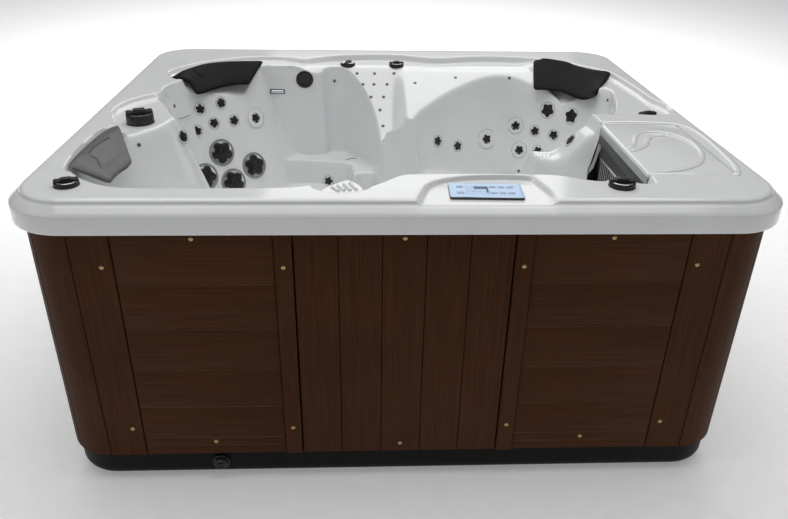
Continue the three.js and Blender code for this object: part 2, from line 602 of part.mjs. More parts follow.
// The point of a wall at a given height nearest to a place seen from above.
function onWall([shareX, shareY], height) {
  const spot = new THREE.Vector2(shareX * HALF_WIDTH, shareY * HALF_DEPTH);
  for (let round = 0; round < WALL_SEARCH_ROUNDS; round += 1) {
    const slope = skinSlope(spot.x, spot.y);
    const steepness = Math.max(slope.length(), 1);
    const miss = height - skinHeight(spot.x, spot.y);
    const reach = clamp(miss / steepness, -WALL_SEARCH_STRIDE, WALL_SEARCH_STRIDE);
    spot.addScaledVector(slope, reach / steepness);
  }
  return new THREE.Vector3(spot.x, spot.y, skinHeight(spot.x, spot.y));
}

function outwardFrom(point) {
  const slope = skinSlope(point.x, point.y);
  return new THREE.Vector3(-slope.x, -slope.y, 1).normalize();
}

// Shell mesh

const SIDES = [
  { along: [1, 0], out: [0, -1], shares: FRONT_STATION_SHARES },
  { along: [0, 1], out: [1, 0], shares: RIGHT_STATION_SHARES },
  { along: [-1, 0], out: [0, 1], shares: BACK_STATION_SHARES },
  { along: [0, -1], out: [-1, 0], shares: LEFT_STATION_SHARES },
];

// Stations round the rim: a point on the line of corner centres, and the way out from it.
function rimStations() {
  const straight = [HALF_WIDTH - LIP_CORNER_RADIUS, HALF_DEPTH - LIP_CORNER_RADIUS];
  return SIDES.flatMap(({ along, out, shares }) => {
    const at = (share) => [0, 1].map((k) => (out[k] + along[k] * share) * straight[k]);
    const run = shares.map((share) => ({ base: at(share), out }));
    const turns = Array.from({ length: CORNER_STEPS - 1 }, (_, k) => {
      const angle = ((k + 1) / CORNER_STEPS) * (Math.PI / 2);
      const way = [0, 1].map((axis) => out[axis] * Math.cos(angle) + along[axis] * Math.sin(angle));
      return { base: at(1), out: way };
    });
    return [...run, ...turns];
  });
}

const rimPoint = ({ base, out }, inset) => [0, 1].map((k) => base[k] + out[k] * (LIP_CORNER_RADIUS - inset));

function alongRay(target, share) {
  const centre = [GRID_CENTRE_SHARES[0] * HALF_WIDTH, GRID_CENTRE_SHARES[1] * HALF_DEPTH];
  return [0, 1].map((k) => centre[k] + (target[k] - centre[k]) * share);
}

// Shares along a ray that crowd where the surface bends.
function rayShares(target) {
  const reach = Math.hypot(...alongRay(target, 1).map((value, k) => value - alongRay(target, 0)[k]));
  const heightAt = (_, i) => skinHeight(...alongRay(target, i / RAY_SAMPLES));
  const heights = Array.from({ length: RAY_SAMPLES + 1 }, heightAt);
  const run = reach / RAY_SAMPLES;
  const angles = heights.slice(1).map((height, i) => Math.atan2(height - heights[i], run));
  const totals = [0];
  angles.forEach((angle, i) => {
    const bend = i > 0 ? Math.abs(angle - angles[i - 1]) : 0;
    totals.push(totals[i] + run / Math.cos(angle) + bend * BEND_WEIGHT);
  });
  return Array.from({ length: RAY_STATIONS }, (_, k) => {
    const goal = (totals[RAY_SAMPLES] * (k + 1)) / RAY_STATIONS;
    const i = clamp(totals.findIndex((total) => total >= goal - SLOPE_PROBE / RAY_SAMPLES), 1, RAY_SAMPLES);
    const part = (goal - totals[i - 1]) / (totals[i] - totals[i - 1]);
    return clamp((i - 1 + part) / RAY_SAMPLES, 0, 1);
  });
}

function evened(rows) {
  return rows.map((row, i) => {
    const before = rows[(i + rows.length - 1) % rows.length];
    const after = rows[(i + 1) % rows.length];
    return row.map((share, k) => (before[k] + 2 * share + after[k]) / 4);
  });
}

function shellRings(stations) {
  const shares = evened(evened(stations.map((station) => rayShares(rimPoint(station, DECK_BEARING_INSET)))));
  const inner = (grow) => Array.from({ length: RAY_STATIONS }, (_, k) => stations.map((station, i) => {
    const share = k === RAY_STATIONS - 1 ? 1 : shares[i][k];
    const [x, y] = alongRay(rimPoint(station, DECK_BEARING_INSET), share);
    return [x, y, skinHeight(x, y, grow)];
  }));
  const rim = (inset, drop, grow) => stations.map((station) => {
    const [x, y] = rimPoint(station, inset);
    return [x, y, skinHeight(x, y, grow, OVERALL_HEIGHT - drop)];
  });
  return [
    ...inner(0),
    rim(LIP_FLAT_INSET, 0, 0),
    rim(LIP_SHOULDER_INSET, LIP_SHOULDER_DROP, 0),
    rim(LIP_STEP_INSET, LIP_STEP_DROP, 0),
    rim(0, LIP_BEVEL_DROP, 0),
    rim(0, LIP_HEIGHT, 0),
    rim(LIP_THICKNESS, LIP_HEIGHT, SHELL_THICKNESS),
    rim(LIP_THICKNESS, LIP_INNER_DROP, SHELL_THICKNESS),
    rim(LIP_INNER_STEP_INSET, LIP_INNER_STEP_DROP, SHELL_THICKNESS),
    rim(LIP_FLAT_INSET, SHELL_THICKNESS, SHELL_THICKNESS),
    ...inner(SHELL_THICKNESS).reverse(),
  ];
}

function shellBlank() {
  const stations = rimStations();
  const rings = shellRings(stations);
  const [x, y] = alongRay(rimPoint(stations[0], 0), 0);
  const points = [[x, y, skinHeight(x, y)], ...rings.flat(), [x, y, skinHeight(x, y, SHELL_THICKNESS)]];
  const count = stations.length;
  const at = (ring, i) => 1 + ring * count + (i % count);
  const triangles = [];
  for (let i = 0; i < count; i += 1) {
    triangles.push(0, at(0, i), at(0, i + 1));
    for (let ring = 0; ring < rings.length - 1; ring += 1) {
      triangles.push(at(ring, i), at(ring + 1, i), at(ring + 1, i + 1));
      triangles.push(at(ring, i), at(ring + 1, i + 1), at(ring, i + 1));
    }
    triangles.push(at(rings.length - 1, i), points.length - 1, at(rings.length - 1, i + 1));
  }
  const geometry = new THREE.BufferGeometry();
  geometry.setAttribute('position', new THREE.Float32BufferAttribute(points.flat(), 3));
  geometry.setIndex(triangles);
  return toSolid(geometry);
}

// Fittings that pass through the shell: a flat seat on its face and a hole for the stem.

function fitting(name, point, axis, radius, stem, seatDepth) {
  const seat = point.clone().addScaledVector(axis, -seatDepth);
  return { name, seat, axis, radius, stem };
}

function seatCut({ seat, axis, radius, stem }) {
  const face = rod(radius + SEAT_GAP, 0, CUT_OVERRUN, ROUND_SIDES, seat, axis);
  const hole = rod(stem + STEM_GAP, -CUT_OVERRUN, CUT_OVERRUN / 2, HOLE_SIDES, seat, axis);
  return face.add(hole);
}

function placed(mesh, { seat, axis }) {
  mesh.position.copy(seat);
  mesh.quaternion.setFromUnitVectors(UP, axis);
  return mesh;
}

function jetFittings() {
  const at = (name, size, shares, drop) => {
    const point = onWall(shares, OVERALL_HEIGHT - drop);
    return { ...fitting(name, point, outwardFrom(point), size.flange, size.stem, JET_SEAT_DEPTH), size };
  };
  return [
    ...BIG_JET_SHARES.map((shares, i) => at(`big_jet_face_${i + 1}`, BIG_JET, shares, BIG_JET_DROPS[i])),
    ...MEDIUM_JET_SHARES.map((shares, i) => (
      at(`medium_jet_face_${i + 1}`, MEDIUM_JET, shares, MEDIUM_JET_DROP)
    )),
    at('neck_jet_face', NECK_JET, NECK_JET_SHARES, NECK_JET_DROP),
  ];
}

// A star with rounded-off valleys, standing on the jet's face.
function star(radius, from, to) {
  const points = Array.from({ length: 2 * STAR_POINTS }, (_, i) => {
    const reach = i % 2 ? radius * STAR_VALLEY_SHARE : radius;
    const angle = (i * Math.PI) / STAR_POINTS + Math.PI / 2;
    return [reach * Math.cos(angle), reach * Math.sin(angle)];
  });
  return plate(points, from, to);
}

function jetFace(jet) {
  const { size } = jet;
  const top = TOUCH_GAP + size.thickness;
  const body = turned([
    [0, -size.length], [size.stem, -size.length], [size.stem, TOUCH_GAP], [size.flange, TOUCH_GAP],
    [size.flange, TOUCH_GAP + size.thickness / 2], [size.face, top], [size.face, top - size.dome],
    [0, top - size.dome],
  ], ROUND_SIDES);
  const face = star(size.star, top - size.dome - WELD_LAP, top + size.dome * STAR_HEIGHT_SHARE);
  return placed(piece(jet.name, body.add(face), 'black'), jet);
}

function knobFittings() {
  return KNOBS.map(({ name, size, shares }) => {
    const [x, y] = [shares[0] * HALF_WIDTH, shares[1] * HALF_DEPTH];
    const point = new THREE.Vector3(x, y, skinHeight(x, y));
    return { ...fitting(name, point, UP, size.radius, size.stem, KNOB_SEAT_DEPTH), size };
  });
}

function knob(valve) {
  const { size } = valve;
  const top = TOUCH_GAP + size.height;
  const neck = size.radius * KNOB_TAPER_SHARE;
  const body = turned([
    [0, -size.length], [size.stem, -size.length], [size.stem, TOUCH_GAP], [size.radius, TOUCH_GAP],
    [size.radius, top / 2], [neck, top], [0, top],
  ], ROUND_SIDES);
  const reach = size.radius * KNOB_LEVER_SHARE;
  const half = size.lever / 2;
  const lever = block([-reach, reach], [-half, half], [top - WELD_LAP, top + size.leverHeight]);
  return placed(piece(valve.name, body.add(lever), 'black'), valve);
}

function roundFitting(name, point, axis, size) {
  return { ...fitting(name, point, axis, size.radius, size.stem, JET_SEAT_DEPTH), size };
}

function waterFittings() {
  const drain = FLOOR_DRAIN_SHARES.map((share, k) => share * [HALF_WIDTH, HALF_DEPTH][k]);
  const floor = new THREE.Vector3(...drain, skinHeight(...drain));
  return [
    ...SUCTION_SHARES.map((shares, i) => {
      const point = onWall(shares, SUCTION_HEIGHT);
      return roundFitting(`suction_fitting_${i + 1}`, point, outwardFrom(point), SUCTION);
    }),
    roundFitting('footwell_drain_grate', floor, UP, FLOOR_DRAIN),
  ];
}

function waterFitting(item) {
  const { size } = item;
  const top = TOUCH_GAP + size.thickness;
  const body = turned([
    [0, -size.length], [size.stem, -size.length], [size.stem, TOUCH_GAP], [size.radius, TOUCH_GAP],
    [size.radius, top / 2], [size.radius * KNOB_TAPER_SHARE, top], [0, top],
  ], ROUND_SIDES);
  return placed(piece(item.name, body, 'grey'), item);
}

function spoutFitting() {
  const point = onWall(SPOUT_SHARES, OVERALL_HEIGHT - SPOUT_DROP);
  const seat = point.clone().setY(point.y + JET_SEAT_DEPTH);
  return { seat };
}

function spoutBlock(grow, from, to, seat = new THREE.Vector3()) {
  const [width, height] = [SPOUT.width / 2 + grow, SPOUT.height / 2 + grow];
  const across = [seat.x - width, seat.x + width];
  return block(across, [seat.y + from, seat.y + to], [seat.z - height, seat.z + height]);
}

function spoutCut({ seat }) {
  const frame = spoutBlock(SPOUT.lip + SLIDE_GAP, -CUT_OVERRUN, 0, seat);
  return frame.add(spoutBlock(TOUCH_GAP, -CUT_OVERRUN, SPOUT.depth + CUT_OVERRUN, seat));
}

function waterfallSpout({ seat }) {
  const frame = spoutBlock(SPOUT.lip, -SPOUT.thickness - TOUCH_GAP, -TOUCH_GAP);
  const duct = spoutBlock(0, -SPOUT.thickness - TOUCH_GAP, SPOUT.depth);
  const slot = spoutBlock(-SPOUT.lip, -CUT_OVERRUN, SPOUT.depth - SPOUT.lip);
  const mesh = piece('waterfall_spout', frame.add(duct).subtract(slot), 'steel');
  mesh.position.copy(seat);
  return mesh;
}

// Headrest cushions: a crowned pad swept between two edges, drawn in at its ends, with one
// channel pressed along it.

function cushionEdge(shares) {
  const size = [HALF_WIDTH, HALF_DEPTH, OVERALL_HEIGHT];
  const points = shares.map((share) => new THREE.Vector3(...share.map((value, k) => value * size[k])));
  return new THREE.CatmullRomCurve3(points);
}

function cushionSection(width, squeeze, grow) {
  const points = [];
  const half = CUSHION_THICKNESS * HALF_SHARE;
  for (let i = 0; i <= CUSHION_WIDTH_STEPS; i += 1) {
    const share = (1 - Math.cos((Math.PI * i) / CUSHION_WIDTH_STEPS)) / 2;
    const round = Math.sqrt(Math.max(0, 1 - (2 * share - 1) ** 4));
    const groove = Math.exp(-(((share - CUSHION_CHANNEL_SHARE) / CUSHION_CHANNEL_WIDTH_SHARE) ** 2));
    const crown = (half + CUSHION_CROWN * round - CUSHION_CHANNEL_DEPTH * groove) * round;
    points.push({ share, front: crown * squeeze + grow, back: half * round * squeeze + grow });
  }
  const front = points.map(({ share, front: lift }) => [share * (width + 2 * grow) - grow, lift]);
  const behind = points.slice(1, -1).reverse();
  const back = behind.map(({ share, back: sink }) => [share * (width + 2 * grow) - grow, -sink]);
  return [...front, ...back];
}

function cushionStations() {
  const steps = CUSHION_LENGTH_STEPS;
  const [first, ...ends] = CUSHION_END_SHARES;
  const last = ends[ends.length - 1];
  const middle = Array.from({ length: steps - 1 }, (_, i) => last + ((1 - 2 * last) * (i + 1)) / steps);
  return [first, ...ends, ...middle, ...[...ends].reverse().map((share) => 1 - share), 1];
}

function cushion({ topShares, bottomShares }, grow) {
  const [top, bottom] = [cushionEdge(topShares), cushionEdge(bottomShares)];
  const stations = cushionStations();
  const rings = stations.map((share) => {
    const [from, to] = [top.getPoint(share), bottom.getPoint(share)];
    const across = to.clone().sub(from);
    const width = across.length();
    across.normalize();
    const lift = new THREE.Vector3().crossVectors(across, top.getTangent(share)).normalize();
    if (lift.z < 0) lift.negate();
    const towardsEnd = Math.abs(2 * share - 1) ** CUSHION_END_SHARPNESS;
    const squeeze = Math.sqrt(Math.max(0, 1 - towardsEnd));
    return cushionSection(width, squeeze, grow).map(([along, up]) => from.clone()
      .addScaledVector(across, along).addScaledVector(lift, up));
  });
  const sway = new THREE.Vector3().subVectors(top.getPoint(1), top.getPoint(0)).normalize();
  rings[0].forEach((point) => point.addScaledVector(sway, -grow));
  rings[rings.length - 1].forEach((point) => point.addScaledVector(sway, grow));
  return sweptSolid(rings);
}

function middleOf(points) {
  return points.reduce((sum, point) => sum.add(point), new THREE.Vector3()).divideScalar(points.length);
}

// A closed solid through equal rings of points, with a fan at each end.
function sweptSolid(rings) {
  const count = rings[0].length;
  const points = [middleOf(rings[0]), ...rings.flat(), middleOf(rings[rings.length - 1])];
  const at = (ring, i) => 1 + ring * count + (i % count);
  const triangles = [];
  for (let i = 0; i < count; i += 1) {
    triangles.push(0, at(0, i + 1), at(0, i));
    for (let ring = 0; ring < rings.length - 1; ring += 1) {
      triangles.push(at(ring, i), at(ring + 1, i + 1), at(ring + 1, i));
      triangles.push(at(ring, i), at(ring, i + 1), at(ring + 1, i + 1));
    }
    triangles.push(at(rings.length - 1, i), at(rings.length - 1, i + 1), points.length - 1);
  }
  const geometry = new THREE.BufferGeometry();
  const values = points.flatMap((point) => point.toArray());
  geometry.setAttribute('position', new THREE.Float32BufferAttribute(values, 3));
  geometry.setIndex(triangles);
  const solid = toSolid(geometry);
  if (solid.volume() > 0) return solid;
  geometry.setIndex(triangles.map((_, i, all) => all[i - (i % 3) + (2 - (i % 3))]));
  return toSolid(geometry);
}

// Control panel and its keys, built lying flat and turned a little on the rim

const panelSeat = () => {
  const [x, y] = [PANEL_SHARES[0] * HALF_WIDTH, PANEL_SHARES[1] * HALF_DEPTH];
  return new THREE.Vector3(x, y, OVERALL_HEIGHT - PANEL_RECESS_DROP - PANEL_SEAT_DEPTH);
};

const ROUNDED_CORNER_STEPS = 3;

function roundedRectangle(width, depth, corner) {
  const points = [];
  [[1, 1], [-1, 1], [-1, -1], [1, -1]].forEach(([sx, sy], quarter) => {
    for (let i = 0; i <= ROUNDED_CORNER_STEPS; i += 1) {
      const angle = ((quarter + i / ROUNDED_CORNER_STEPS) * Math.PI) / 2;
      const [cx, cy] = [sx * (width * HALF_SHARE - corner), sy * (depth * HALF_SHARE - corner)];
      points.push([cx + corner * Math.cos(angle), cy + corner * Math.sin(angle)]);
    }
  });
  return points;
}

function panelCut() {
  const seat = panelSeat();
  const turn = THREE.MathUtils.degToRad(PANEL_TURN_DEGREES);
  const grown = roundedRectangle(PANEL.width + 2 * SLIDE_GAP, PANEL.depth + 2 * SLIDE_GAP, PANEL.corner);
  const points = grown.map(([x, y]) => [
    seat.x + x * Math.cos(turn) - y * Math.sin(turn),
    seat.y + x * Math.sin(turn) + y * Math.cos(turn),
  ]);
  return plate(points, seat.z, seat.z + CUT_OVERRUN);
}

function keyPlaces() {
  return KEY_COLUMN_SHARES.flatMap((column) => KEY_ROW_SHARES.map((row) => [
    column * PANEL.width * HALF_SHARE, row * PANEL.depth * HALF_SHARE,
  ]));
}

function controlPanel() {
  const top = TOUCH_GAP + PANEL.thickness;
  const floor = top + KEY.proud - KEY.height - KEY.travel - TOUCH_GAP;
  const pocket = ([x, y]) => block(
    [x - KEY.width / 2 - TOUCH_GAP, x + KEY.width / 2 + TOUCH_GAP],
    [y - KEY.depth / 2 - TOUCH_GAP, y + KEY.depth / 2 + TOUCH_GAP],
    [floor, top + CUT_OVERRUN],
  );
  const body = plate(roundedRectangle(PANEL.width, PANEL.depth, PANEL.corner), TOUCH_GAP, top);
  const group = new THREE.Group();
  group.add(piece('control_panel', body.subtract(fused(keyPlaces().map(pocket))), 'film'));
  keyPlaces().forEach(([x, y], i) => {
    const key = piece(`panel_key_${i + 1}`, block(
      [-KEY.width / 2, KEY.width / 2], [-KEY.depth / 2, KEY.depth / 2], [-KEY.height, 0],
    ), 'grey');
    key.position.set(x, y, top + KEY.proud);
    group.add(key);
  });
  group.position.copy(panelSeat());
  group.rotation.z = THREE.MathUtils.degToRad(PANEL_TURN_DEGREES);
  return group;
}

// Filter compartment beside the right seat: a housing with a slotted mouth, a floating weir,
// a cartridge and a lift-off lid.

const WELL = {
  x: WELL_SIDE_SHARES.map((share) => share * HALF_WIDTH),
  y: WELL_LENGTH_SHARES.map((share) => share * HALF_DEPTH),
  bottom: OVERALL_HEIGHT - WELL_DEPTH,
};
const MOUTH = {
  y: [WELL.y[0] + MOUTH_END_MARGIN, WELL.y[1] - MOUTH_END_MARGIN],
  z: [OVERALL_HEIGHT - MOUTH_SILL_DROP, OVERALL_HEIGHT - MOUTH_TOP_DROP],
};

function wellCut() {
  const sill = MOUTH.z[0] - HOUSING_LEDGE;
  const reach = block([WELL.x[0] - WELL_REACH, WELL.x[1]], WELL.y, [sill, OVERALL_HEIGHT + CUT_OVERRUN]);
  const under = block([WELL.x[0] - TOUCH_GAP, WELL.x[1]], WELL.y, [WELL.bottom - TOUCH_GAP, sill + WELD_LAP]);
  return reach.add(under);
}

function filterHousing() {
  const [left, right] = [WELL.x[0], WELL.x[1] - TOUCH_GAP - HOUSING_LEDGE];
  const [front, back] = [WELL.y[0] + TOUCH_GAP + HOUSING_LEDGE, WELL.y[1] - TOUCH_GAP - HOUSING_LEDGE];
  const deck = OVERALL_HEIGHT - SHELL_THICKNESS - TOUCH_GAP;
  const shell = block([left, right], [front, back], [WELL.bottom, deck]);
  const room = block([left + HOUSING_WALL, right - HOUSING_WALL], [front + HOUSING_WALL, back - HOUSING_WALL],
    [WELL.bottom + HOUSING_WALL, deck + CUT_OVERRUN]);
  const rest = HOUSING_LEDGE + HOUSING_FLANGE;
  const flange = block([left + HOUSING_FLANGE_START, right + rest],
    [front - rest, back + rest], [deck - HOUSING_WALL, deck]);
  const sill = block([WELL.x[0] - WELL_REACH + TOUCH_GAP, left + HOUSING_WALL], [front, back],
    [MOUTH.z[0] - HOUSING_WALL, MOUTH.z[0]]);
  const mouth = block([left - WELL_REACH, left + 2 * HOUSING_WALL], MOUTH.y, MOUTH.z);
  const body = fused([shell, flange, sill]).subtract(room).subtract(mouth);
  return piece('filter_housing', body, 'black');
}

function skimmerGrille() {
  const width = MOUTH.y[1] - MOUTH.y[0] - 2 * TOUCH_GAP;
  const height = MOUTH.z[1] - MOUTH.z[0] - 2 * TOUCH_GAP;
  const [y, z] = [MOUTH.y[0] + TOUCH_GAP, MOUTH.z[0] + TOUCH_GAP];
  const thick = [WELL.x[0], WELL.x[0] + HOUSING_WALL];
  const frame = block(thick, [y, y + width], [z, z + height]);
  const pitch = (width - GRILLE_BAR_WIDTH) / GRILLE_BARS;
  const gaps = Array.from({ length: GRILLE_BARS }, (_, i) => block(
    [thick[0] - CUT_OVERRUN, thick[1] + CUT_OVERRUN],
    [y + GRILLE_BAR_WIDTH + i * pitch, y + (i + 1) * pitch],
    [z + GRILLE_BAR_WIDTH, z + height - GRILLE_BAR_WIDTH],
  ));
  return piece('skimmer_grille', frame.subtract(fused(gaps)), 'grey');
}

function skimmerWeir() {
  const x = WELL.x[0] + HOUSING_WALL + TOUCH_GAP + WEIR_HINGE_RADIUS;
  const y = [MOUTH.y[0] + SLIDE_GAP, MOUTH.y[1] - SLIDE_GAP];
  const bottom = MOUTH.z[0] + SLIDE_GAP + WEIR_HINGE_RADIUS;
  const pin = rod(WEIR_HINGE_RADIUS, 0, y[1] - y[0], ROUND_SIDES / 2, new THREE.Vector3(x, y[0], bottom),
    new THREE.Vector3(0, 1, 0));
  const across = [x - WEIR_THICKNESS / 2, x + WEIR_THICKNESS / 2];
  const flap = block(across, y, [bottom, OVERALL_HEIGHT - WEIR_DROP]);
  return piece('skimmer_weir', pin.add(flap), 'grey');
}

function filterCartridge() {
  const length = MOUTH.z[0] - WELL.bottom + HOUSING_WALL;
  const centre = WELL.x[1] - HOUSING_LEDGE - 2 * HOUSING_WALL - SLIDE_GAP - CARTRIDGE.radius;
  const middle = (WELL.y[0] + WELL.y[1]) / 2;
  const base = WELL.bottom + HOUSING_WALL + TOUCH_GAP;
  const cap = (from) => rod(CARTRIDGE.radius, from, from + CARTRIDGE.cap, FINE_SIDES);
  const points = Array.from({ length: 2 * CARTRIDGE.pleats }, (_, k) => {
    const angle = (k * Math.PI) / CARTRIDGE.pleats;
    const reach = CARTRIDGE.radius * CARTRIDGE.pleatShare * (k % 2 ? CARTRIDGE.pleatShare : 1);
    return [reach * Math.cos(angle), reach * Math.sin(angle)];
  });
  const media = plate(points, CARTRIDGE.cap - WELD_LAP, length - CARTRIDGE.cap + WELD_LAP);
  const core = rod(CARTRIDGE.core, -CUT_OVERRUN, length + CUT_OVERRUN, ROUND_SIDES);
  const body = fused([cap(0), media, cap(length - CARTRIDGE.cap)]).subtract(core);
  const mesh = piece('filter_cartridge', body, 'paper');
  mesh.position.set(centre, middle, base);
  return mesh;
}

function filterLid() {
  const x = [WELL.x[0], WELL.x[1] - SLIDE_GAP];
  const y = [WELL.y[0] + SLIDE_GAP, WELL.y[1] - SLIDE_GAP];
  const bottom = OVERALL_HEIGHT - SHELL_THICKNESS;
  const top = block([x[0] - LID_SKIRT_THICKNESS, x[1]], y, [bottom, OVERALL_HEIGHT + LID_PROUD]);
  const skirt = block([x[0] - LID_SKIRT_THICKNESS, x[0] - TOUCH_GAP], y, [MOUTH.z[1], bottom + WELD_LAP]);
  return piece('filter_lid', top.add(skirt), 'acrylic');
}

// Base pan: a tray with skids that the tub stands on

function insetRectangle(inset) {
  return [0, 1, 2, 3].flatMap((quarter) => Array.from({ length: CORNER_STEPS + 1 }, (_, i) => {
    const angle = ((quarter + i / CORNER_STEPS) * Math.PI) / 2;
    const [sx, sy] = [[1, 1], [-1, 1], [-1, -1], [1, -1]][quarter];
    const reach = LIP_CORNER_RADIUS - inset;
    return [
      sx * (HALF_WIDTH - LIP_CORNER_RADIUS) + reach * Math.cos(angle),
      sy * (HALF_DEPTH - LIP_CORNER_RADIUS) + reach * Math.sin(angle),
    ];
  }));
}

const frontFace = (inset) => inset - HALF_DEPTH;

function basePan(cap) {
  const body = plate(insetRectangle(PAN_INSET), SKID_HEIGHT, PAN_HEIGHT);
  const room = plate(insetRectangle(PAN_INSET + PAN_WALL), SKID_HEIGHT + PAN_FLOOR, PAN_HEIGHT + CUT_OVERRUN);
  const depth = HALF_DEPTH - PAN_INSET - SKID_INSET;
  const skids = SKID_SHARES.map((shares) => block(shares.map((share) => share * HALF_WIDTH),
    [-depth, depth], [0, SKID_HEIGHT + WELD_LAP]));
  const holes = [cap, glandFitting()].map((item) => rod(item.stem + TOUCH_GAP, -CUT_OVERRUN, CUT_OVERRUN,
    ROUND_SIDES, item.seat, item.axis));
  return piece('base_pan', fused([body, ...skids]).subtract(room).subtract(fused(holes)), 'black');
}

function drainFitting() {
  const seat = new THREE.Vector3(DRAIN_CAP_SHARE * HALF_WIDTH, frontFace(PAN_INSET), DRAIN_CAP_HEIGHT);
  const axis = new THREE.Vector3(0, -1, 0);
  return { name: 'drain_cap', seat, axis, stem: DRAIN_CAP.stem, size: DRAIN_CAP };
}

function glandFitting() {
  const seat = new THREE.Vector3(GLAND_SHARE * HALF_WIDTH, -frontFace(PAN_INSET), DRAIN_CAP_HEIGHT);
  const axis = new THREE.Vector3(0, 1, 0);
  return { name: 'supply_cable_gland', seat, axis, stem: GLAND.stem, size: GLAND };
}

// Timber frame: a sole ring with joists under the footwell, posts, a top ring and the pads
// that the deck bears on.

function railRing(from, to) {
  const [x, y] = [HALF_WIDTH - FRAME_INSET, HALF_DEPTH - FRAME_INSET];
  const run = (half) => half + FRAME_INSET - LIP_CORNER_RADIUS;
  return fused([-1, 1].flatMap((side) => {
    const span = (half) => [side * half, side * (half - FRAME_RAIL_WIDTH)].sort((a, b) => a - b);
    return [
      block([-run(x), run(x)], span(y), [from, to]),
      block(span(x), [-run(y), run(y)], [from, to]),
    ];
  }).concat(cornerPosts(from, to)));
}

// Posts that join the rails across each rounded corner
function cornerPosts(from, to) {
  const reach = LIP_CORNER_RADIUS - FRAME_INSET - FRAME_CORNER_GAP;
  const diagonal = reach * Math.SQRT1_2;
  return [[1, 1], [-1, 1], [-1, -1], [1, -1]].map(([sx, sy]) => {
    const [cx, cy] = [HALF_WIDTH - LIP_CORNER_RADIUS, HALF_DEPTH - LIP_CORNER_RADIUS];
    const low = -FRAME_RAIL_WIDTH;
    const outer = [[low, reach], [0, reach], [diagonal, diagonal], [reach, 0], [reach, low]];
    const within = diagonal - FRAME_RAIL_WIDTH;
    const inner = [[reach - FRAME_RAIL_WIDTH, low], [within, within], [low, reach - FRAME_RAIL_WIDTH]];
    return plate([...outer, ...inner].map(([x, y]) => [sx * (cx + x), sy * (cy + y)]), from, to);
  });
}

function supportFrame() {
  const [x, y] = [HALF_WIDTH - FRAME_INSET, HALF_DEPTH - FRAME_INSET];
  const floor = SKID_HEIGHT + PAN_FLOOR + TOUCH_GAP;
  const railTop = OVERALL_HEIGHT - LIP_HEIGHT;
  const joistTop = PAN_HEIGHT;
  const deck = OVERALL_HEIGHT - SHELL_THICKNESS - TOUCH_GAP;
  const rails = [
    railRing(floor + WELD_LAP, joistTop - WELD_LAP),
    railRing(railTop - SHELL_THICKNESS - FRAME_RAIL_HEIGHT, railTop - SHELL_THICKNESS),
  ];
  const joists = JOIST_SHARES.map((share) => block([-x + WELD_LAP, x - WELD_LAP],
    [share * HALF_DEPTH - JOIST_WIDTH / 2, share * HALF_DEPTH + JOIST_WIDTH / 2], [floor, joistTop]));
  const upright = (at, side, half, size, across) => {
    const along = [at * across - size / 2, at * across + size / 2];
    const inward = [side * (half - SLIDE_GAP), side * (half - FRAME_PAD_WIDTH)].sort((a, b) => a - b);
    return { along, inward };
  };
  const posts = [
    ...FRONT_PAD_SHARES.map((at) => upright(at, -1, y, FRAME_POST_WIDTH, HALF_WIDTH)),
    ...BACK_PAD_SHARES.map((at) => upright(at, 1, y, FRAME_POST_WIDTH, HALF_WIDTH)),
  ].map(({ along, inward }) => block(along, inward, [floor, deck]));
  const sidePosts = [
    ...LEFT_PAD_SHARES.map((at) => upright(at, -1, x, FRAME_POST_WIDTH, HALF_DEPTH)),
    ...RIGHT_PAD_SHARES.map((at) => upright(at, 1, x, FRAME_POST_WIDTH, HALF_DEPTH)),
  ].map(({ along, inward }) => block(inward, along, [floor, deck]));
  return piece('support_frame', fused([...rails, ...joists, ...posts, ...sidePosts]), 'timber');
}

// Cabinet: each side has a boarded middle panel between two plank panels, and a curved
// panel closes each corner. Every panel is built for the front and turned to its side.

const skirtTop = OVERALL_HEIGHT - SKIRT_TOP_DROP;
const skirtBottom = PAN_HEIGHT + TOUCH_GAP;

// Upright section of a plank panel, as [distance in from the face, height].
function plankSection() {
  const height = OVERALL_HEIGHT - LIP_HEIGHT - PAN_HEIGHT;
  const lines = PLANK_LINE_SHARES.map((share) => PAN_HEIGHT + share * height);
  const face = lines.flatMap((z) => [
    [0, z - PLANK_GROOVE / 2], [PLANK_GROOVE_DEPTH, z], [0, z + PLANK_GROOVE / 2],
  ]);
  const rear = [[SKIRT_THICKNESS, skirtTop], [SKIRT_THICKNESS, skirtBottom]];
  return [...rear, [0, skirtBottom], ...face, [0, skirtTop]];
}

function plankPanel(from, to, face, battenAtEnd) {
  const shape = new THREE.Shape(plankSection().map(([inset, z]) => new THREE.Vector2(face + inset, z)));
  const geometry = new THREE.ExtrudeGeometry(shape, { depth: to - from, bevelEnabled: false });
  const basis = new THREE.Matrix4().makeBasis(new THREE.Vector3(0, 1, 0), UP, new THREE.Vector3(1, 0, 0));
  geometry.applyMatrix4(basis);
  geometry.translate(from, 0, 0);
  const batten = battenAtEnd ? [to - BATTEN_WIDTH, to] : [from, from + BATTEN_WIDTH];
  const strip = block(batten, [face - BATTEN_PROUD, face + SKIRT_THICKNESS / 2],
    [skirtBottom, OVERALL_HEIGHT - LIP_HEIGHT - SLIDE_GAP]);
  return toSolid(geometry).add(strip);
}

function boardPanel(from, to, face) {
  const width = (to - from) / BOARD_COUNT;
  const points = [[from, face]];
  for (let i = 1; i < BOARD_COUNT; i += 1) {
    const x = from + i * width;
    points.push([x - PLANK_GROOVE / 2, face], [x, face + PLANK_GROOVE_DEPTH], [x + PLANK_GROOVE / 2, face]);
  }
  points.push([to, face], [to, face + SKIRT_THICKNESS], [from, face + SKIRT_THICKNESS]);
  return plate(points, skirtBottom, skirtTop);
}

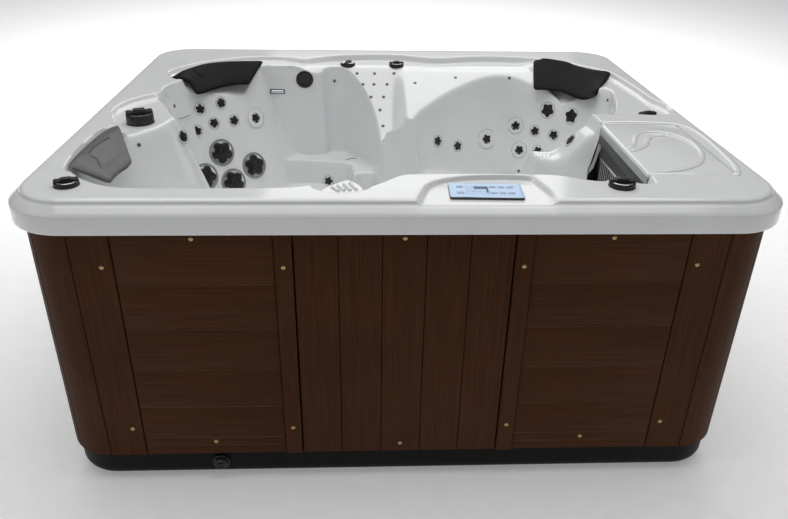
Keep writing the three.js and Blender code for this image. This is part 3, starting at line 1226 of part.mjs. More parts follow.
function cornerPanel([sx, sy]) {
  const [cx, cy] = [HALF_WIDTH - LIP_CORNER_RADIUS, HALF_DEPTH - LIP_CORNER_RADIUS];
  const end = CORNER_PANEL_SPAN - LIP_CORNER_RADIUS - PANEL_SEAM / 2;
  const arc = (radius) => Array.from({ length: CORNER_PANEL_STEPS + 1 }, (_, i) => {
    const angle = (i / CORNER_PANEL_STEPS) * (Math.PI / 2);
    return [cx + radius * Math.cos(angle), cy + radius * Math.sin(angle)];
  });
  const outer = LIP_CORNER_RADIUS - SKIRT_INSET;
  const inner = outer - SKIRT_THICKNESS;
  const points = [
    [cx + outer, cy - end], ...arc(outer), [cx - end, cy + outer],
    [cx - end, cy + inner], ...arc(inner).reverse(), [cx + inner, cy - end],
  ];
  return plate(points.map(([x, y]) => [sx * x, sy * y]), skirtBottom, skirtTop);
}

function cabinet() {
  const group = new THREE.Group();
  const sides = [['front', HALF_WIDTH, HALF_DEPTH], ['right', HALF_DEPTH, HALF_WIDTH],
    ['back', HALF_WIDTH, HALF_DEPTH], ['left', HALF_DEPTH, HALF_WIDTH]];
  sides.forEach(([side, half, reach], turn) => {
    const face = SKIRT_INSET - reach;
    const end = half - CORNER_PANEL_SPAN - PANEL_SEAM / 2;
    const middle = (half - CORNER_PANEL_SPAN) * CENTRE_PANEL_SHARE;
    const [before, after] = [middle - PANEL_SEAM / 2, middle + PANEL_SEAM / 2];
    const panels = [
      piece(`${side}_left_plank_panel`, plankPanel(-end, -after, face, true), 'woodgrain'),
      piece(`${side}_middle_panel`, boardPanel(-before, before, face), 'woodgrain'),
      piece(`${side}_right_plank_panel`, plankPanel(after, end, face, false), 'woodgrain'),
    ];
    const holder = new THREE.Group();
    holder.add(...panels);
    holder.rotation.z = (turn * Math.PI) / 2;
    group.add(holder);
  });
  const corners = { front_left: [-1, -1], front_right: [1, -1], back_right: [1, 1], back_left: [-1, 1] };
  Object.entries(corners).forEach(([name, signs]) => {
    group.add(piece(`${name}_corner_panel`, cornerPanel(signs), 'woodgrain'));
  });
  return group;
}

// Equipment standing on the pan: two jet pumps, the heater tube, the control box and the
// air blower.

const panFloor = SKID_HEIGHT + PAN_FLOOR + TOUCH_GAP;
const bayPlace = (shares) => [shares[0] * HALF_WIDTH, shares[1] * HALF_DEPTH];

function jetPump(index) {
  const axis = new THREE.Vector3(1, 0, 0);
  const height = PUMP.foot + PUMP.wet;
  const base = new THREE.Vector3(0, 0, height);
  const half = PUMP.motorLength / 2;
  const motor = turned([
    [0, -half], [PUMP.bell, -half], [PUMP.motor, PUMP.wet - half], [PUMP.motor, half], [0, half],
  ], ROUND_SIDES, base, axis);
  const wet = rod(PUMP.wet, half - WELD_LAP, half + PUMP.wetLength, ROUND_SIDES, base, axis);
  const inlet = rod(PUMP_PIPE, half, half + PUMP.wetLength + PUMP_PIPE_LENGTH, ROUND_SIDES / 2, base, axis);
  const outlet = rod(PUMP_PIPE, 0, PUMP.wet + PUMP_PIPE_LENGTH, ROUND_SIDES / 2,
    new THREE.Vector3(half + PUMP.wetLength / 2, 0, height), UP);
  const footSpan = [-PUMP.footWidth / 2, PUMP.footWidth / 2];
  const postSpan = [-PUMP.bell / 2, PUMP.bell / 2];
  const foot = block([-half + PUMP.bell, half + PUMP.wetLength], footSpan, [0, PUMP.foot]);
  const post = block([-PUMP.bell, PUMP.bell], postSpan, [PUMP.foot - WELD_LAP, height]);
  const mesh = piece(`jet_pump_${index + 1}`, fused([motor, wet, inlet, outlet, foot, post]), 'black');
  const [x, y] = bayPlace(PUMP_SHARES[index]);
  mesh.position.set(x, y, panFloor);
  return mesh;
}

function heaterTube() {
  const axis = new THREE.Vector3(1, 0, 0);
  const base = new THREE.Vector3(0, 0, HEATER.collar);
  const half = HEATER.length / 2;
  const tube = rod(HEATER.radius, -half, half, ROUND_SIDES, base, axis);
  const collars = [-half, half - HEATER.collarWidth].map((from) => rod(HEATER.collar, from,
    from + HEATER.collarWidth, ROUND_SIDES, base, axis));
  const saddle = block([-half / 2, half / 2], [-HEATER.saddle / 2, HEATER.saddle / 2], [0, HEATER.collar]);
  const mesh = piece('heater_tube', fused([tube, ...collars, saddle]), 'steel');
  const [x, y] = bayPlace(HEATER_SHARES);
  mesh.position.set(x, y, panFloor);
  return mesh;
}

function controlBox() {
  const outline = roundedRectangle(CONTROL_BOX.width, CONTROL_BOX.depth, CONTROL_BOX.corner);
  const mesh = piece('control_box', plate(outline, 0, CONTROL_BOX.height), 'grey');
  const railBack = HALF_DEPTH - FRAME_INSET - FRAME_RAIL_WIDTH;
  const y = RAIL_CLEARANCE + CONTROL_BOX.depth / 2 - railBack;
  mesh.position.set(CONTROL_BOX_SHARE * HALF_WIDTH, y, panFloor);
  return mesh;
}

function airBlower() {
  const body = turned([
    [0, 0], [BLOWER.radius, 0], [BLOWER.radius, BLOWER.height * KNOB_TAPER_SHARE],
    [BLOWER.radius * STAR_VALLEY_SHARE, BLOWER.height], [BLOWER.neck, BLOWER.height],
    [BLOWER.neck, BLOWER.height + BLOWER.neckHeight], [0, BLOWER.height + BLOWER.neckHeight],
  ], ROUND_SIDES);
  const mesh = piece('air_blower', body, 'black');
  const [x, y] = bayPlace(BLOWER_SHARES);
  mesh.position.set(x, y, panFloor);
  return mesh;
}

// Assembly

function hotTub() {
  const tub = new THREE.Group();
  const jets = jetFittings();
  const valves = knobFittings();
  const water = waterFittings();
  const spout = spoutFitting();
  const cap = drainFitting();
  const cuts = [
    ...[...jets, ...valves, ...water].map(seatCut),
    spoutCut(spout), panelCut(), wellCut(),
    ...CUSHIONS.map((shape) => cushion(shape, CUSHION_CUT_GAP)),
  ];
  const shell = cuts.reduce((body, cut) => body.subtract(cut), shellBlank());
  tub.add(
    piece('tub_shell', shell, 'acrylic'), basePan(cap), supportFrame(), cabinet(),
    ...CUSHIONS.map((shape) => piece(shape.name, cushion(shape, 0), 'foam')),
    ...jets.map(jetFace), ...valves.map(knob), ...water.map(waterFitting), waterfallSpout(spout),
    controlPanel(), filterHousing(), skimmerGrille(), skimmerWeir(), filterCartridge(), filterLid(),
    waterFitting(cap), waterFitting(glandFitting()),
    ...PUMP_SHARES.map((_, i) => jetPump(i)), heaterTube(), controlBox(), airBlower(),
  );
  return tub;
}

export default hotTub();
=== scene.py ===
import json
import logging
import math
from dataclasses import dataclass, field
from enum import Enum
from typing import Callable, Iterable, Sequence

import bmesh
import bpy
import numpy as np
from mathutils import Matrix, Vector


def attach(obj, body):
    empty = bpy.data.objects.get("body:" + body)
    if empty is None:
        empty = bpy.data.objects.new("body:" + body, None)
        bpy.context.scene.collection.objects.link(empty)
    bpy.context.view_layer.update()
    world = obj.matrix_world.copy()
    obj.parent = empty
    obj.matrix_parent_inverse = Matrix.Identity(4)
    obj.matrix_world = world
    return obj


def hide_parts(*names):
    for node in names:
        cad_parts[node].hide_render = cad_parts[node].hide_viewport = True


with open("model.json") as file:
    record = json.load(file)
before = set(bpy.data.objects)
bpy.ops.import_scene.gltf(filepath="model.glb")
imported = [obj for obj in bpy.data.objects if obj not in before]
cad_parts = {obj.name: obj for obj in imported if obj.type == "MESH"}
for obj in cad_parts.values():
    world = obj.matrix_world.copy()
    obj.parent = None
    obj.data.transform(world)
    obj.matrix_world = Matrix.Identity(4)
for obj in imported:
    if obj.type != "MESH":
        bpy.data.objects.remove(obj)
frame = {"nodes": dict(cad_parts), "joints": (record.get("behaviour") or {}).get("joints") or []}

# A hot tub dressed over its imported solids. Sizes are in millimetres in the row frame, and
# each mesh is brought to metres as it is finished.

LOG = logging.getLogger("hot_tub")
METRES = 0.001
THOUSANDTHS = 1000.0
HALF_WIDTH = 1000.0
HALF_DEPTH = 870.0
RIM_HEIGHT = 900.0
UP = Vector((0.0, 0.0, 1.0))
FRONT = Vector((0.0, -1.0, 0.0))
TUB = "tub"

Point = tuple[float, float]
Triple = tuple[float, float, float]
Profile = Sequence[Point]
Verts = list[bmesh.types.BMVert]
Grid = np.ndarray


class Axis(Enum):
    """The direction that a wood grain runs in."""

    ACROSS = "across"
    UPRIGHT = "upright"


# Outlines of the shell's hollows seen from above, in thousandths of half the width and half
# the depth

SHOULDER = (
    (-835, 379), (-862, 471), (-846, 548), (-768, 670), (-658, 759), (-538, 806), (-410, 791), (-352, 737),
    (-325, 778), (-199, 844), (-60, 866), (60, 862), (186, 793), (229, 791), (320, 825), (408, 843), (540, 833),
    (642, 807), (739, 746), (890, 566), (908, 494), (930, 214), (930, 92), (956, 23), (962, -57), (930, -136),
    (880, -146), (800, -132), (700, -144), (560, -69), (400, 230), (0, 345), (-400, 460), (-700, 299),
)
PLATFORM = (
    (-926, -126), (-918, 0), (-880, 69), (-851, 109), (-825, 138), (-740, 69), (-640, -115), (-650, -287),
    (-780, -402), (-850, -328), (-885, -236),
)
BACK_LEFT_RIM = (
    (-742, -86), (-792, 43), (-835, 132), (-785, 205), (-742, 271), (-765, 345), (-826, 379), (-780, 513),
    (-683, 676), (-591, 720), (-500, 698), (-280, 693), (-262, 731), (-197, 736), (-155, 714), (-84, 639), (-31, 517),
    (-9, 397), (-5, 230), (-100, -115), (-400, -379), (-640, -345), (-712, -270), (-727, -148),
)
BACK_LEFT_SEAT = (
    (-600, -69), (-655, 46), (-720, 126), (-800, 206), (-700, 299), (-640, 354), (-546, 444), (-495, 500),
    (-454, 566), (-419, 637), (-335, 689), (-248, 703), (-172, 694), (-105, 649), (-62, 552), (-50, 460), (-40, 345),
    (-60, -69), (-400, -379), (-540, -345), (-565, -195),
)
BUCKET = (
    (-560, -69), (-650, 69), (-780, 172), (-740, 310), (-650, 385), (-560, 477), (-485, 552), (-454, 580),
    (-373, 597), (-269, 583), (-171, 555), (-141, 523), (-141, 345), (-150, 115), (-300, -230), (-500, -287),
)
BACK_RIGHT_RIM = (
    (50, 230), (50, 333), (86, 411), (160, 494), (247, 575), (295, 626), (403, 701), (520, 747), (640, 772),
    (739, 739), (820, 661), (866, 540), (862, 411), (841, 244), (807, 82), (770, -46), (700, -147), (655, -155),
    (560, -115), (450, -80), (250, -172), (0, -115),
)
BACK_RIGHT_SEAT = (
    (140, 230), (143, 322), (227, 408), (310, 474), (390, 523), (450, 552), (505, 549), (560, 506), (610, 455),
    (690, 366), (735, 276), (748, 172), (735, 69), (690, 0), (620, -9), (540, 6), (470, 17), (400, 0), (200, -172),
    (0, -57), (60, 172),
)
FRONT_LEFT = (
    (-728, -149), (-735, -218), (-775, -305), (-830, -374), (-880, -425), (-902, -517), (-898, -644), (-872, -736),
    (-820, -805), (-750, -856), (-684, -871), (-401, -870), (-260, -862), (-222, -822), (-205, -747), (-150, -690),
    (-60, -598), (-100, -230), (-400, -69), (-640, -69),
)
FRONT_RIGHT_RIM = (
    (-110, -891), (-45, -820), (-10, -772), (22, -760), (346, -763), (430, -772), (479, -810), (498, -838),
    (522, -823), (545, -809), (580, -809), (606, -823), (625, -848), (668, -848), (672, -287), (657, -213),
    (600, -172), (559, -115), (500, -69), (430, -34), (300, -57), (0, -115), (-260, -460), (-220, -655), (-140, -695),
    (-118, -747),
)
FRONT_RIGHT_SEAT = (
    (-105, -879), (-45, -820), (-10, -772), (22, -760), (346, -763), (430, -772), (520, -828), (788, -848),
    (788, -287), (660, -224), (600, -182), (559, -128), (500, -80), (430, -38), (300, -57), (0, -115), (-260, -460),
    (-200, -644), (-140, -690), (-112, -747),
)
ARMREST = (
    (655, -264), (668, -218), (655, -69), (600, 0), (400, 46), (340, -69), (400, -230), (560, -299),
)
RIDGE = (
    (-245, -860), (-200, -902), (-152, -916), (-114, -899), (-80, -864), (-60, -644), (-150, -575), (-240, -644),
)
FOOTWELL = (
    (-430, -345), (-445, -57), (-380, 138), (-250, 264), (-135, 425), (-50, 425), (-40, 377), (20, 352), (85, 287),
    (120, 244), (165, 218), (330, 172), (440, -23), (440, -345), (250, -494), (-180, -494),
)
BACK_LEFT_HEADREST = (
    (-838, 366), (-792, 517), (-693, 680), (-597, 731), (-503, 710), (-497, 678), (-350, 517), (-400, 115),
    (-600, 57), (-700, 230), (-758, 345),
)
BACK_RIGHT_HEADREST = (
    (604, 772), (700, 729), (776, 671), (842, 584), (884, 483), (850, 368), (700, 115), (480, 287), (560, 552),
    (590, 690),
)
FRONT_LEFT_HEADREST = (
    (-893, -736), (-906, -644), (-912, -517), (-906, -402), (-893, -328), (-868, -306), (-838, -322), (-800, -402),
    (-500, -460), (-500, -747), (-820, -768),
)
PANEL_RECESS = (
    (77, -783), (27, -962), (20, -1034), (390, -1034), (373, -986), (372, -894), (353, -821), (343, -766),
)


# Finishes


@dataclass(frozen=True)
class Finish:
    """A surface finish that knows its record slot and builds one material.

    Attributes:
        name: The material's name.
        slot: The record's material slot; not used.
        colour: Base colour, linear red, green and blue.
        roughness: Roughness of the surface.
        gloss: Strength of its plain reflection.
        coat: Weight of its clear top coat.
        sockets: Further inputs of the shader and their values.
        mottle: Largest change of the colour, as a share, and its noise scale per metre.
        skin: Noise scale, strength and height in metres of the fine bump.
        weave: Stretch of the bump along each axis.
    """

    name: str
    slot: str
    colour: Triple
    roughness: float = 0.4
    gloss: float = 0.5
    coat: float = 0.0
    sockets: tuple[tuple[str, float], ...] = ()
    mottle: Point = (0.06, 24.0)
    skin: Triple = (900.0, 0.08, 0.0004)
    weave: Triple = (1, 1, 1)

    def material(self) -> bpy.types.Material:
        """Builds the material once and returns it.

        Returns:
            The material.
        """
        made = bpy.data.materials.get(self.name)
        if made is None:
            made = bpy.data.materials.new(self.name)
            made.use_nodes = True
            made.diffuse_color = (*self.colour, 1.0)
            shader = made.node_tree.nodes["Principled BSDF"]
            for key, value in (("Roughness", self.roughness), ("Specular IOR Level", self.gloss),
                               ("Coat Weight", self.coat), *self.sockets):
                shader.inputs[key].default_value = value
            self.dress(NodeBench(made.node_tree, shader))
        return made

    def shade(self, share: float) -> list[float]:
        """Returns the colour made darker or lighter."""
        return [min(value * share, 1.0) for value in self.colour]

    def dress(self, bench: "NodeBench") -> None:
        """Gives the shader a softly mottled colour and a fine bump.

        Args:
            bench: The material's bench.
        """
        share, scale = self.mottle
        bench.colour(bench.ramp(bench.noise(scale), (0.3, self.shade(1 - share)), (0.7, self.shade(1 + share))))
        scale, strength, height = self.skin
        bench.bump(bench.noise(scale, self.weave), strength, height)


@dataclass
class NodeBench:
    """Short ways to wire a material's nodes on object coordinates."""

    tree: bpy.types.NodeTree
    shader: bpy.types.ShaderNode

    def add(self, kind: str, **values: object) -> bpy.types.Node:
        """Adds a node.

        Args:
            kind: The node's class name without its first words.
            **values: Its properties, or input values by socket name.

        Returns:
            The new node.
        """
        node = self.tree.nodes.new(f"ShaderNode{kind}")
        for key, value in values.items():
            if hasattr(node, key):
                setattr(node, key, value)
            else:
                node.inputs[key].default_value = value
        return node

    def noise(self, scale: float, stretch: Sequence[float] = (1, 1, 1), detail: float = 4.0,
              rough: float = 0.5) -> bpy.types.NodeSocket:
        """Returns a noise value.

        Args:
            scale: Noise scale per metre.
            stretch: Stretch of the noise along each axis.
            detail: Octaves of the noise.
            rough: Share of each finer octave.

        Returns:
            The value's socket.
        """
        node = self.add("TexNoise", Scale=scale, Detail=detail, Roughness=rough)
        mapping = self.add("Mapping", Scale=stretch)
        self.tree.links.new(self.add("TexCoord").outputs["Object"], mapping.inputs["Vector"])
        self.tree.links.new(mapping.outputs["Vector"], node.inputs["Vector"])
        return node.outputs["Fac"]

    def ramp(self, value: bpy.types.NodeSocket, *stops: tuple[float, Sequence[float]]) -> bpy.types.NodeSocket:
        """Returns a colour ramp over a value.

        Args:
            value: The driving value.
            *stops: Positions with their colours.

        Returns:
            The colour's socket.
        """
        node = self.add("ValToRGB")
        elements = node.color_ramp.elements
        while len(elements) < len(stops):
            elements.new(0.5)
        for element, (place, colour) in zip(elements, stops):
            element.position = place
            element.color = (*colour[:3], 1.0)
        self.tree.links.new(value, node.inputs["Fac"])
        return node.outputs["Color"]

    def colour(self, tint: bpy.types.NodeSocket) -> None:
        """Gives the shader its base colour."""
        self.tree.links.new(tint, self.shader.inputs["Base Color"])

    def bump(self, height: bpy.types.NodeSocket, strength: float, distance: float) -> None:
        """Gives the shader a bump.

        Args:
            height: The value that drives it.
            strength: Its strength.
            distance: Its height in metres.
        """
        node = self.add("Bump", Strength=strength, Distance=distance)
        self.tree.links.new(height, node.inputs["Height"])
        self.tree.links.new(node.outputs["Normal"], self.shader.inputs["Normal"])


@dataclass(frozen=True)
class Acrylic(Finish):
    """Polished acrylic with faint pearly clouds and a clear top coat."""

    coat: float = 0.6
    sockets: tuple[tuple[str, float], ...] = (("Coat Roughness", 0.12),)
    mottle: Point = (0.02, 9.0)
    skin: Triple = (14.0, 0.05, 0.002)


@dataclass(frozen=True)
class Foam(Finish):
    """Moulded foam with a pebbled closed skin and a soft sheen."""

    coat: float = 0.3
    sockets: tuple[tuple[str, float], ...] = (("Coat Roughness", 0.3),)
    mottle: Point = (0.1, 40.0)
    skin: Triple = (700.0, 0.25, 0.0005)


@dataclass(frozen=True)
class Metal(Finish):
    """Polished or satin metal with faint handling marks."""

    sockets: tuple[tuple[str, float], ...] = (("Metallic", 1.0),)
    mottle: Point = (0.05, 60.0)
    skin: Triple = (300.0, 0.04, 0.0004)


@dataclass(frozen=True)
class WoodGrain(Finish):
    """Embossed wood-effect cladding with grain along one direction."""

    grain: Axis = Axis.ACROSS
    contrast: float = 0.24

    def dress(self, bench: NodeBench) -> None:
        """Adds long grain streaks, broad shade changes and a streaky bump.

        Args:
            bench: The material's bench.
        """
        along, cross = 1.2, 60.0
        stretch = (cross, cross, along) if self.grain is Axis.UPRIGHT else (along, along, cross)
        streaks = bench.noise(4.2, stretch, detail=6.0, rough=0.62)
        tint = bench.ramp(streaks, (0.32, self.shade(1 - self.contrast)), (0.5, self.colour),
                          (0.68, self.shade(1 + self.contrast)))
        broad = bench.ramp(bench.noise(2.0, (0.6, 0.6, 1.4), detail=2.0), (0.3, (0.8,) * 3), (0.7, (1.0,) * 3))
        mix = bench.add("Mix", data_type="RGBA", blend_type="MULTIPLY", Factor=1.0)
        bench.tree.links.new(tint, mix.inputs[6])
        bench.tree.links.new(broad, mix.inputs[7])
        bench.colour(mix.outputs[2])
        bench.bump(streaks, 0.35, 0.0006)


@dataclass(frozen=True)
class Planed(Finish):
    """Planed softwood with growth rings."""

    def dress(self, bench: NodeBench) -> None:
        """Adds growth rings as stretched noise.

        Args:
            bench: The material's bench.
        """
        rings = bench.noise(9.0, (0.3, 4.0, 4.0), detail=5.0)
        bench.colour(bench.ramp(rings, (0.35, self.shade(0.6)), (0.6, self.colour)))
        bench.bump(bench.noise(60.0, (0.2, 3, 3)), 0.2, 0.0004)


@dataclass(frozen=True)
class Palette:
    """Every finish of the tub."""

    acrylic: Finish = Acrylic("white_acrylic", "acrylic", (0.84, 0.85, 0.855), 0.14)
    # Grey for the upper band of the white filter lid's side face, painted shade; the skimmer's fins use the same grey
    # as their own colour.
    lid_side_shade_and_fin_grey: Finish = Finish("painted_lid_shade_and_fin_grey", "acrylic", (0.42, 0.43, 0.44), 0.25)
    plank: Finish = WoodGrain("plank_grain", "woodgrain", (0.08, 0.0305, 0.0122), 0.5, 0.06)
    board: Finish = WoodGrain("board_grain", "woodgrain", (0.08, 0.0305, 0.0122), 0.5, 0.06, grain=Axis.UPRIGHT)
    # A lighter colour on the planks' upper bevels: a painted highlight.
    plank_bevel_highlight: Finish = Finish("painted_highlight_on_plank_bevel", "woodgrain", (0.46, 0.29, 0.19), 0.5, 0.1)
    groove: Finish = Finish("groove_shadow", "woodgrain", (0.02, 0.008, 0.005), 0.7)
    pan: Finish = Finish("black_pan", "black", (0.0065, 0.0058, 0.0052), 0.5, 0.12)
    black: Finish = Finish("black_plastic", "black", (0.008, 0.008, 0.009), 0.22)
    soft_black: Finish = Finish("satin_black_plastic", "black", (0.014, 0.014, 0.015), 0.45)
    grey: Finish = Finish("grey_plastic", "grey", (0.26, 0.265, 0.27), 0.4)
    dark_grey: Finish = Finish("dark_grey_plastic", "grey", (0.045, 0.047, 0.05), 0.45)
    light_foam: Finish = Foam("grey_foam", "foam", (0.09, 0.092, 0.095), 0.42, 0.3, 0.2)
    dark_foam: Finish = Foam("dark_foam", "foam", (0.0085, 0.0086, 0.009), 0.55, 0.05, 0.0)
    chrome: Finish = Metal("chrome", "steel", (0.72, 0.73, 0.75), 0.1)
    brass: Finish = Metal("brass", "steel", (0.52, 0.38, 0.17), 0.28)
    lens_grey: Finish = Finish("smoky_lens", "grey", (0.33, 0.34, 0.35), 0.2, 0.5, 0.5,
                               (("Transmission Weight", 0.25), ("IOR", 1.45)), (0.04, 80.0), (400.0, 0.05, 0.0004))
    # Grey of thin lines; on the jets it is painted shade standing for a groove.
    line: Finish = Finish("thin_line", "grey", (0.24, 0.25, 0.26), 0.5)
    film: Finish = Acrylic("pale_blue_film", "film", (0.47, 0.68, 0.95), 0.35, 0.3)
    key: Finish = Acrylic("key_film", "film", (0.32, 0.42, 0.6), 0.4)
    display: Finish = Acrylic("display_window", "film", (0.36, 0.55, 0.84), 0.3, 0.3)
    mark: Finish = Finish("key_mark", "film", (0.04, 0.07, 0.16), 0.4)
    timber: Finish = Planed("planed_timber", "timber", (0.42, 0.27, 0.13), 0.7)
    paper: Finish = Finish("pleated_fabric", "paper", (0.75, 0.77, 0.78), 0.85, mottle=(0.08, 300.0),
                           skin=(900.0, 0.3, 0.0004), weave=(1, 1, 0.2))


PALETTE = Palette()


# Workshop: short ways to shape a mesh


def soften(mesh: bmesh.types.BMesh, edges: Iterable[bmesh.types.BMEdge], width: float, segments: int) -> None:
    """Rounds edges of a mesh."""
    bmesh.ops.bevel(mesh, geom=list(edges), offset=width, segments=segments, profile=0.5, affect="EDGES",
                    material=-1)


def ring(count: int, reach: Callable[[float], float]) -> list[Point]:
    """Returns places round the origin, at a reach that follows the turn in radians."""
    turns = [index / count * math.tau for index in range(count)]
    return [(reach(turn) * math.cos(turn), reach(turn) * math.sin(turn)) for turn in turns]


@dataclass
class Workpiece:
    """A mesh on the bench, in millimetres, that becomes one named piece on a body."""

    name: str
    body: str = TUB
    finishes: tuple[Finish, ...] = (PALETTE.acrylic,)
    mesh: bmesh.types.BMesh = field(default_factory=bmesh.new)

    def paint(self, faces: Iterable[bmesh.types.BMFace], number: int) -> None:
        """Gives faces one of the piece's finishes."""
        for face in faces:
            face.material_index = number

    def turned(self, profile: Profile, sides: int, number: int = 0) -> Verts:
        """Spins an open profile of radius and height about the upright axis.

        Args:
            profile: Radius and height pairs from one pole to the other.
            sides: Steps of the full spin.
            number: The finish of the new faces.

        Returns:
            The new vertices.
        """
        fresh = bmesh.new()
        points = [fresh.verts.new((radius, 0.0, height)) for radius, height in profile]
        edges = [fresh.edges.new(pair) for pair in zip(points, points[1:])]
        bmesh.ops.spin(fresh, geom=points + edges, cent=(0, 0, 0), axis=(0, 0, 1), dvec=(0, 0, 0),
                       angle=math.tau, steps=sides, use_merge=True, use_duplicate=False)
        bmesh.ops.remove_doubles(fresh, verts=fresh.verts, dist=0.001)
        return self.take_in(fresh, number)

    def block(self, low: Sequence[float], high: Sequence[float], bevel: float = 0.0, segments: int = 2,
              number: int = 0) -> Verts:
        """Adds a block between two corners with softened edges.

        Args:
            low: The lowest corner.
            high: The highest corner.
            bevel: Width of the bevel on every edge.
            segments: Segments of the bevel.
            number: The finish of the new faces.

        Returns:
            The new vertices.
        """
        fresh = bmesh.new()
        middle = [(a + b) / 2 for a, b in zip(low, high)]
        size = [abs(b - a) for a, b in zip(low, high)]
        bmesh.ops.create_cube(fresh, size=1.0, matrix=Matrix.Translation(middle) @ Matrix.Diagonal((*size, 1.0)))
        if bevel:
            soften(fresh, fresh.edges, bevel, segments)
        return self.take_in(fresh, number)

    def plate(self, outline: Sequence[Point], low: float, high: float, bevel: float = 0.0, segments: int = 2,
              number: int = 0) -> Verts:
        """Adds a plate: an outline extruded upwards with a softened top rim.

        Args:
            outline: Corners seen from above.
            low: Height of the underside.
            high: Height of the top.
            bevel: Width of the bevel round the top.
            segments: Segments of the bevel.
            number: The finish of the new faces.

        Returns:
            The new vertices.
        """
        fresh = bmesh.new()
        base = fresh.faces.new([fresh.verts.new((x, y, low)) for x, y in outline])
        raised = bmesh.ops.extrude_face_region(fresh, geom=[base])["geom"]
        top = [item for item in raised if isinstance(item, bmesh.types.BMVert)]
        bmesh.ops.translate(fresh, verts=top, vec=(0, 0, high - low))
        if bevel:
            soften(fresh, (item for item in raised if isinstance(item, bmesh.types.BMEdge)), bevel, segments)
        return self.take_in(fresh, number, not any(len(edge.link_faces) > 2 for edge in fresh.edges))

    def wrapped(self, rings: Grid) -> None:
        """Wraps a plane grid round closed rings of points and fills its ends.

        Args:
            rings: Rings of points, one row for each ring.
        """
        rows, count = rings.shape[0] - 1, rings.shape[1]
        fresh = bmesh.new()
        bmesh.ops.create_grid(fresh, x_segments=count, y_segments=rows, size=0.5)
        for vertex in fresh.verts:
            column = round((vertex.co.x + 0.5) * count) % count
            vertex.co = rings[round((vertex.co.y + 0.5) * rows), column]
        bmesh.ops.remove_doubles(fresh, verts=fresh.verts, dist=0.0005)
        bmesh.ops.holes_fill(fresh, edges=[edge for edge in fresh.edges if edge.is_boundary], sides=0)
        self.take_in(fresh)

    def bead(self, path: Sequence[Sequence[float]], half: float, height: float) -> None:
        """Adds a low bead along a path: a squashed tube that narrows at its ends.

        Args:
            path: Places along it in millimetres.
            half: Half its width.
            height: How far it stands above the path.
        """
        points = np.array(path, float)
        for _ in range(3):
            inner = np.stack([points[:-1] * 0.75 + points[1:] * 0.25, points[:-1] * 0.25 + points[1:] * 0.75], 1)
            points = np.concatenate([points[:1], inner.reshape(-1, 3), points[-1:]])
        side = np.cross(UP, np.gradient(points, axis=0))
        side /= np.linalg.norm(side, axis=1, keepdims=True)
        share = np.linspace(0.0, 1.0, len(points))[:, None, None]
        girth = np.sqrt(np.clip(np.minimum(share, 1 - share) * 12 + 0.03, 0, 1))
        turns = np.linspace(0.0, math.tau, 13)[None, :-1, None]
        across = np.cos(turns) * half * side[:, None, :] + np.sin(turns) * height * np.array(UP)
        self.wrapped(points[:, None, :] + girth * across)

    def take_in(self, fresh: bmesh.types.BMesh, number: int | None = 0, outwards: bool = True) -> Verts:
        """Joins another bmesh to this one.

        Args:
            fresh: The other bmesh, which is used up.
            number: The finish of its faces, or None where they keep theirs.
            outwards: Whether its faces are turned outwards first.

        Returns:
            Its vertices.
        """
        if outwards:
            bmesh.ops.recalc_face_normals(fresh, faces=fresh.faces)
        if number is not None:
            self.paint(fresh.faces, number)
        parcel = bpy.data.meshes.new("parcel")
        fresh.to_mesh(parcel)
        fresh.free()
        count = len(self.mesh.verts)
        self.mesh.from_mesh(parcel)
        bpy.data.meshes.remove(parcel)
        self.mesh.verts.ensure_lookup_table()
        return self.mesh.verts[count:]

    def seat(self, place: Sequence[float], axis: Vector = UP, spin: float = 0.0,
             verts: Iterable[bmesh.types.BMVert] | None = None) -> None:
        """Moves the work from the upright axis to a seat.

        Args:
            place: The seat's middle in millimetres.
            axis: The way that the work's top faces.
            spin: Turn about its own axis in radians.
            verts: The vertices to move, or all of them.
        """
        turn = UP.rotation_difference(axis).to_matrix().to_4x4() @ Matrix.Rotation(spin, 4, "Z")
        bmesh.ops.transform(self.mesh, matrix=Matrix.Translation(place) @ turn,
                            verts=list(verts) if verts is not None else self.mesh.verts)

    def finish(self, *nodes: str, crease: float = 35.0) -> bpy.types.Object:
        """Turns the work into a finished object that rides on its body.

        Args:
            *nodes: The CAD nodes that the piece stands for.
            crease: Faces that meet at more than this many degrees stay crisp.

        Returns:
            The finished object.
        """
        bmesh.ops.scale(self.mesh, vec=(METRES,) * 3, verts=self.mesh.verts)
        mesh = bpy.data.meshes.new(self.name)
        self.mesh.to_mesh(mesh)
        self.mesh.free()
        for finish in self.finishes:
            mesh.materials.append(finish.material())
        mesh.shade_smooth()
        mesh.set_sharp_from_angle(angle=math.radians(crease))
        piece = bpy.data.objects.new(self.name, mesh)
        bpy.context.scene.collection.objects.link(piece)
        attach(piece, self.body)
        if nodes:
            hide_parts(*nodes)
        LOG.info("%s: %d faces on %s", self.name, len(mesh.polygons), self.body)
        return piece


# Camera of the photograph


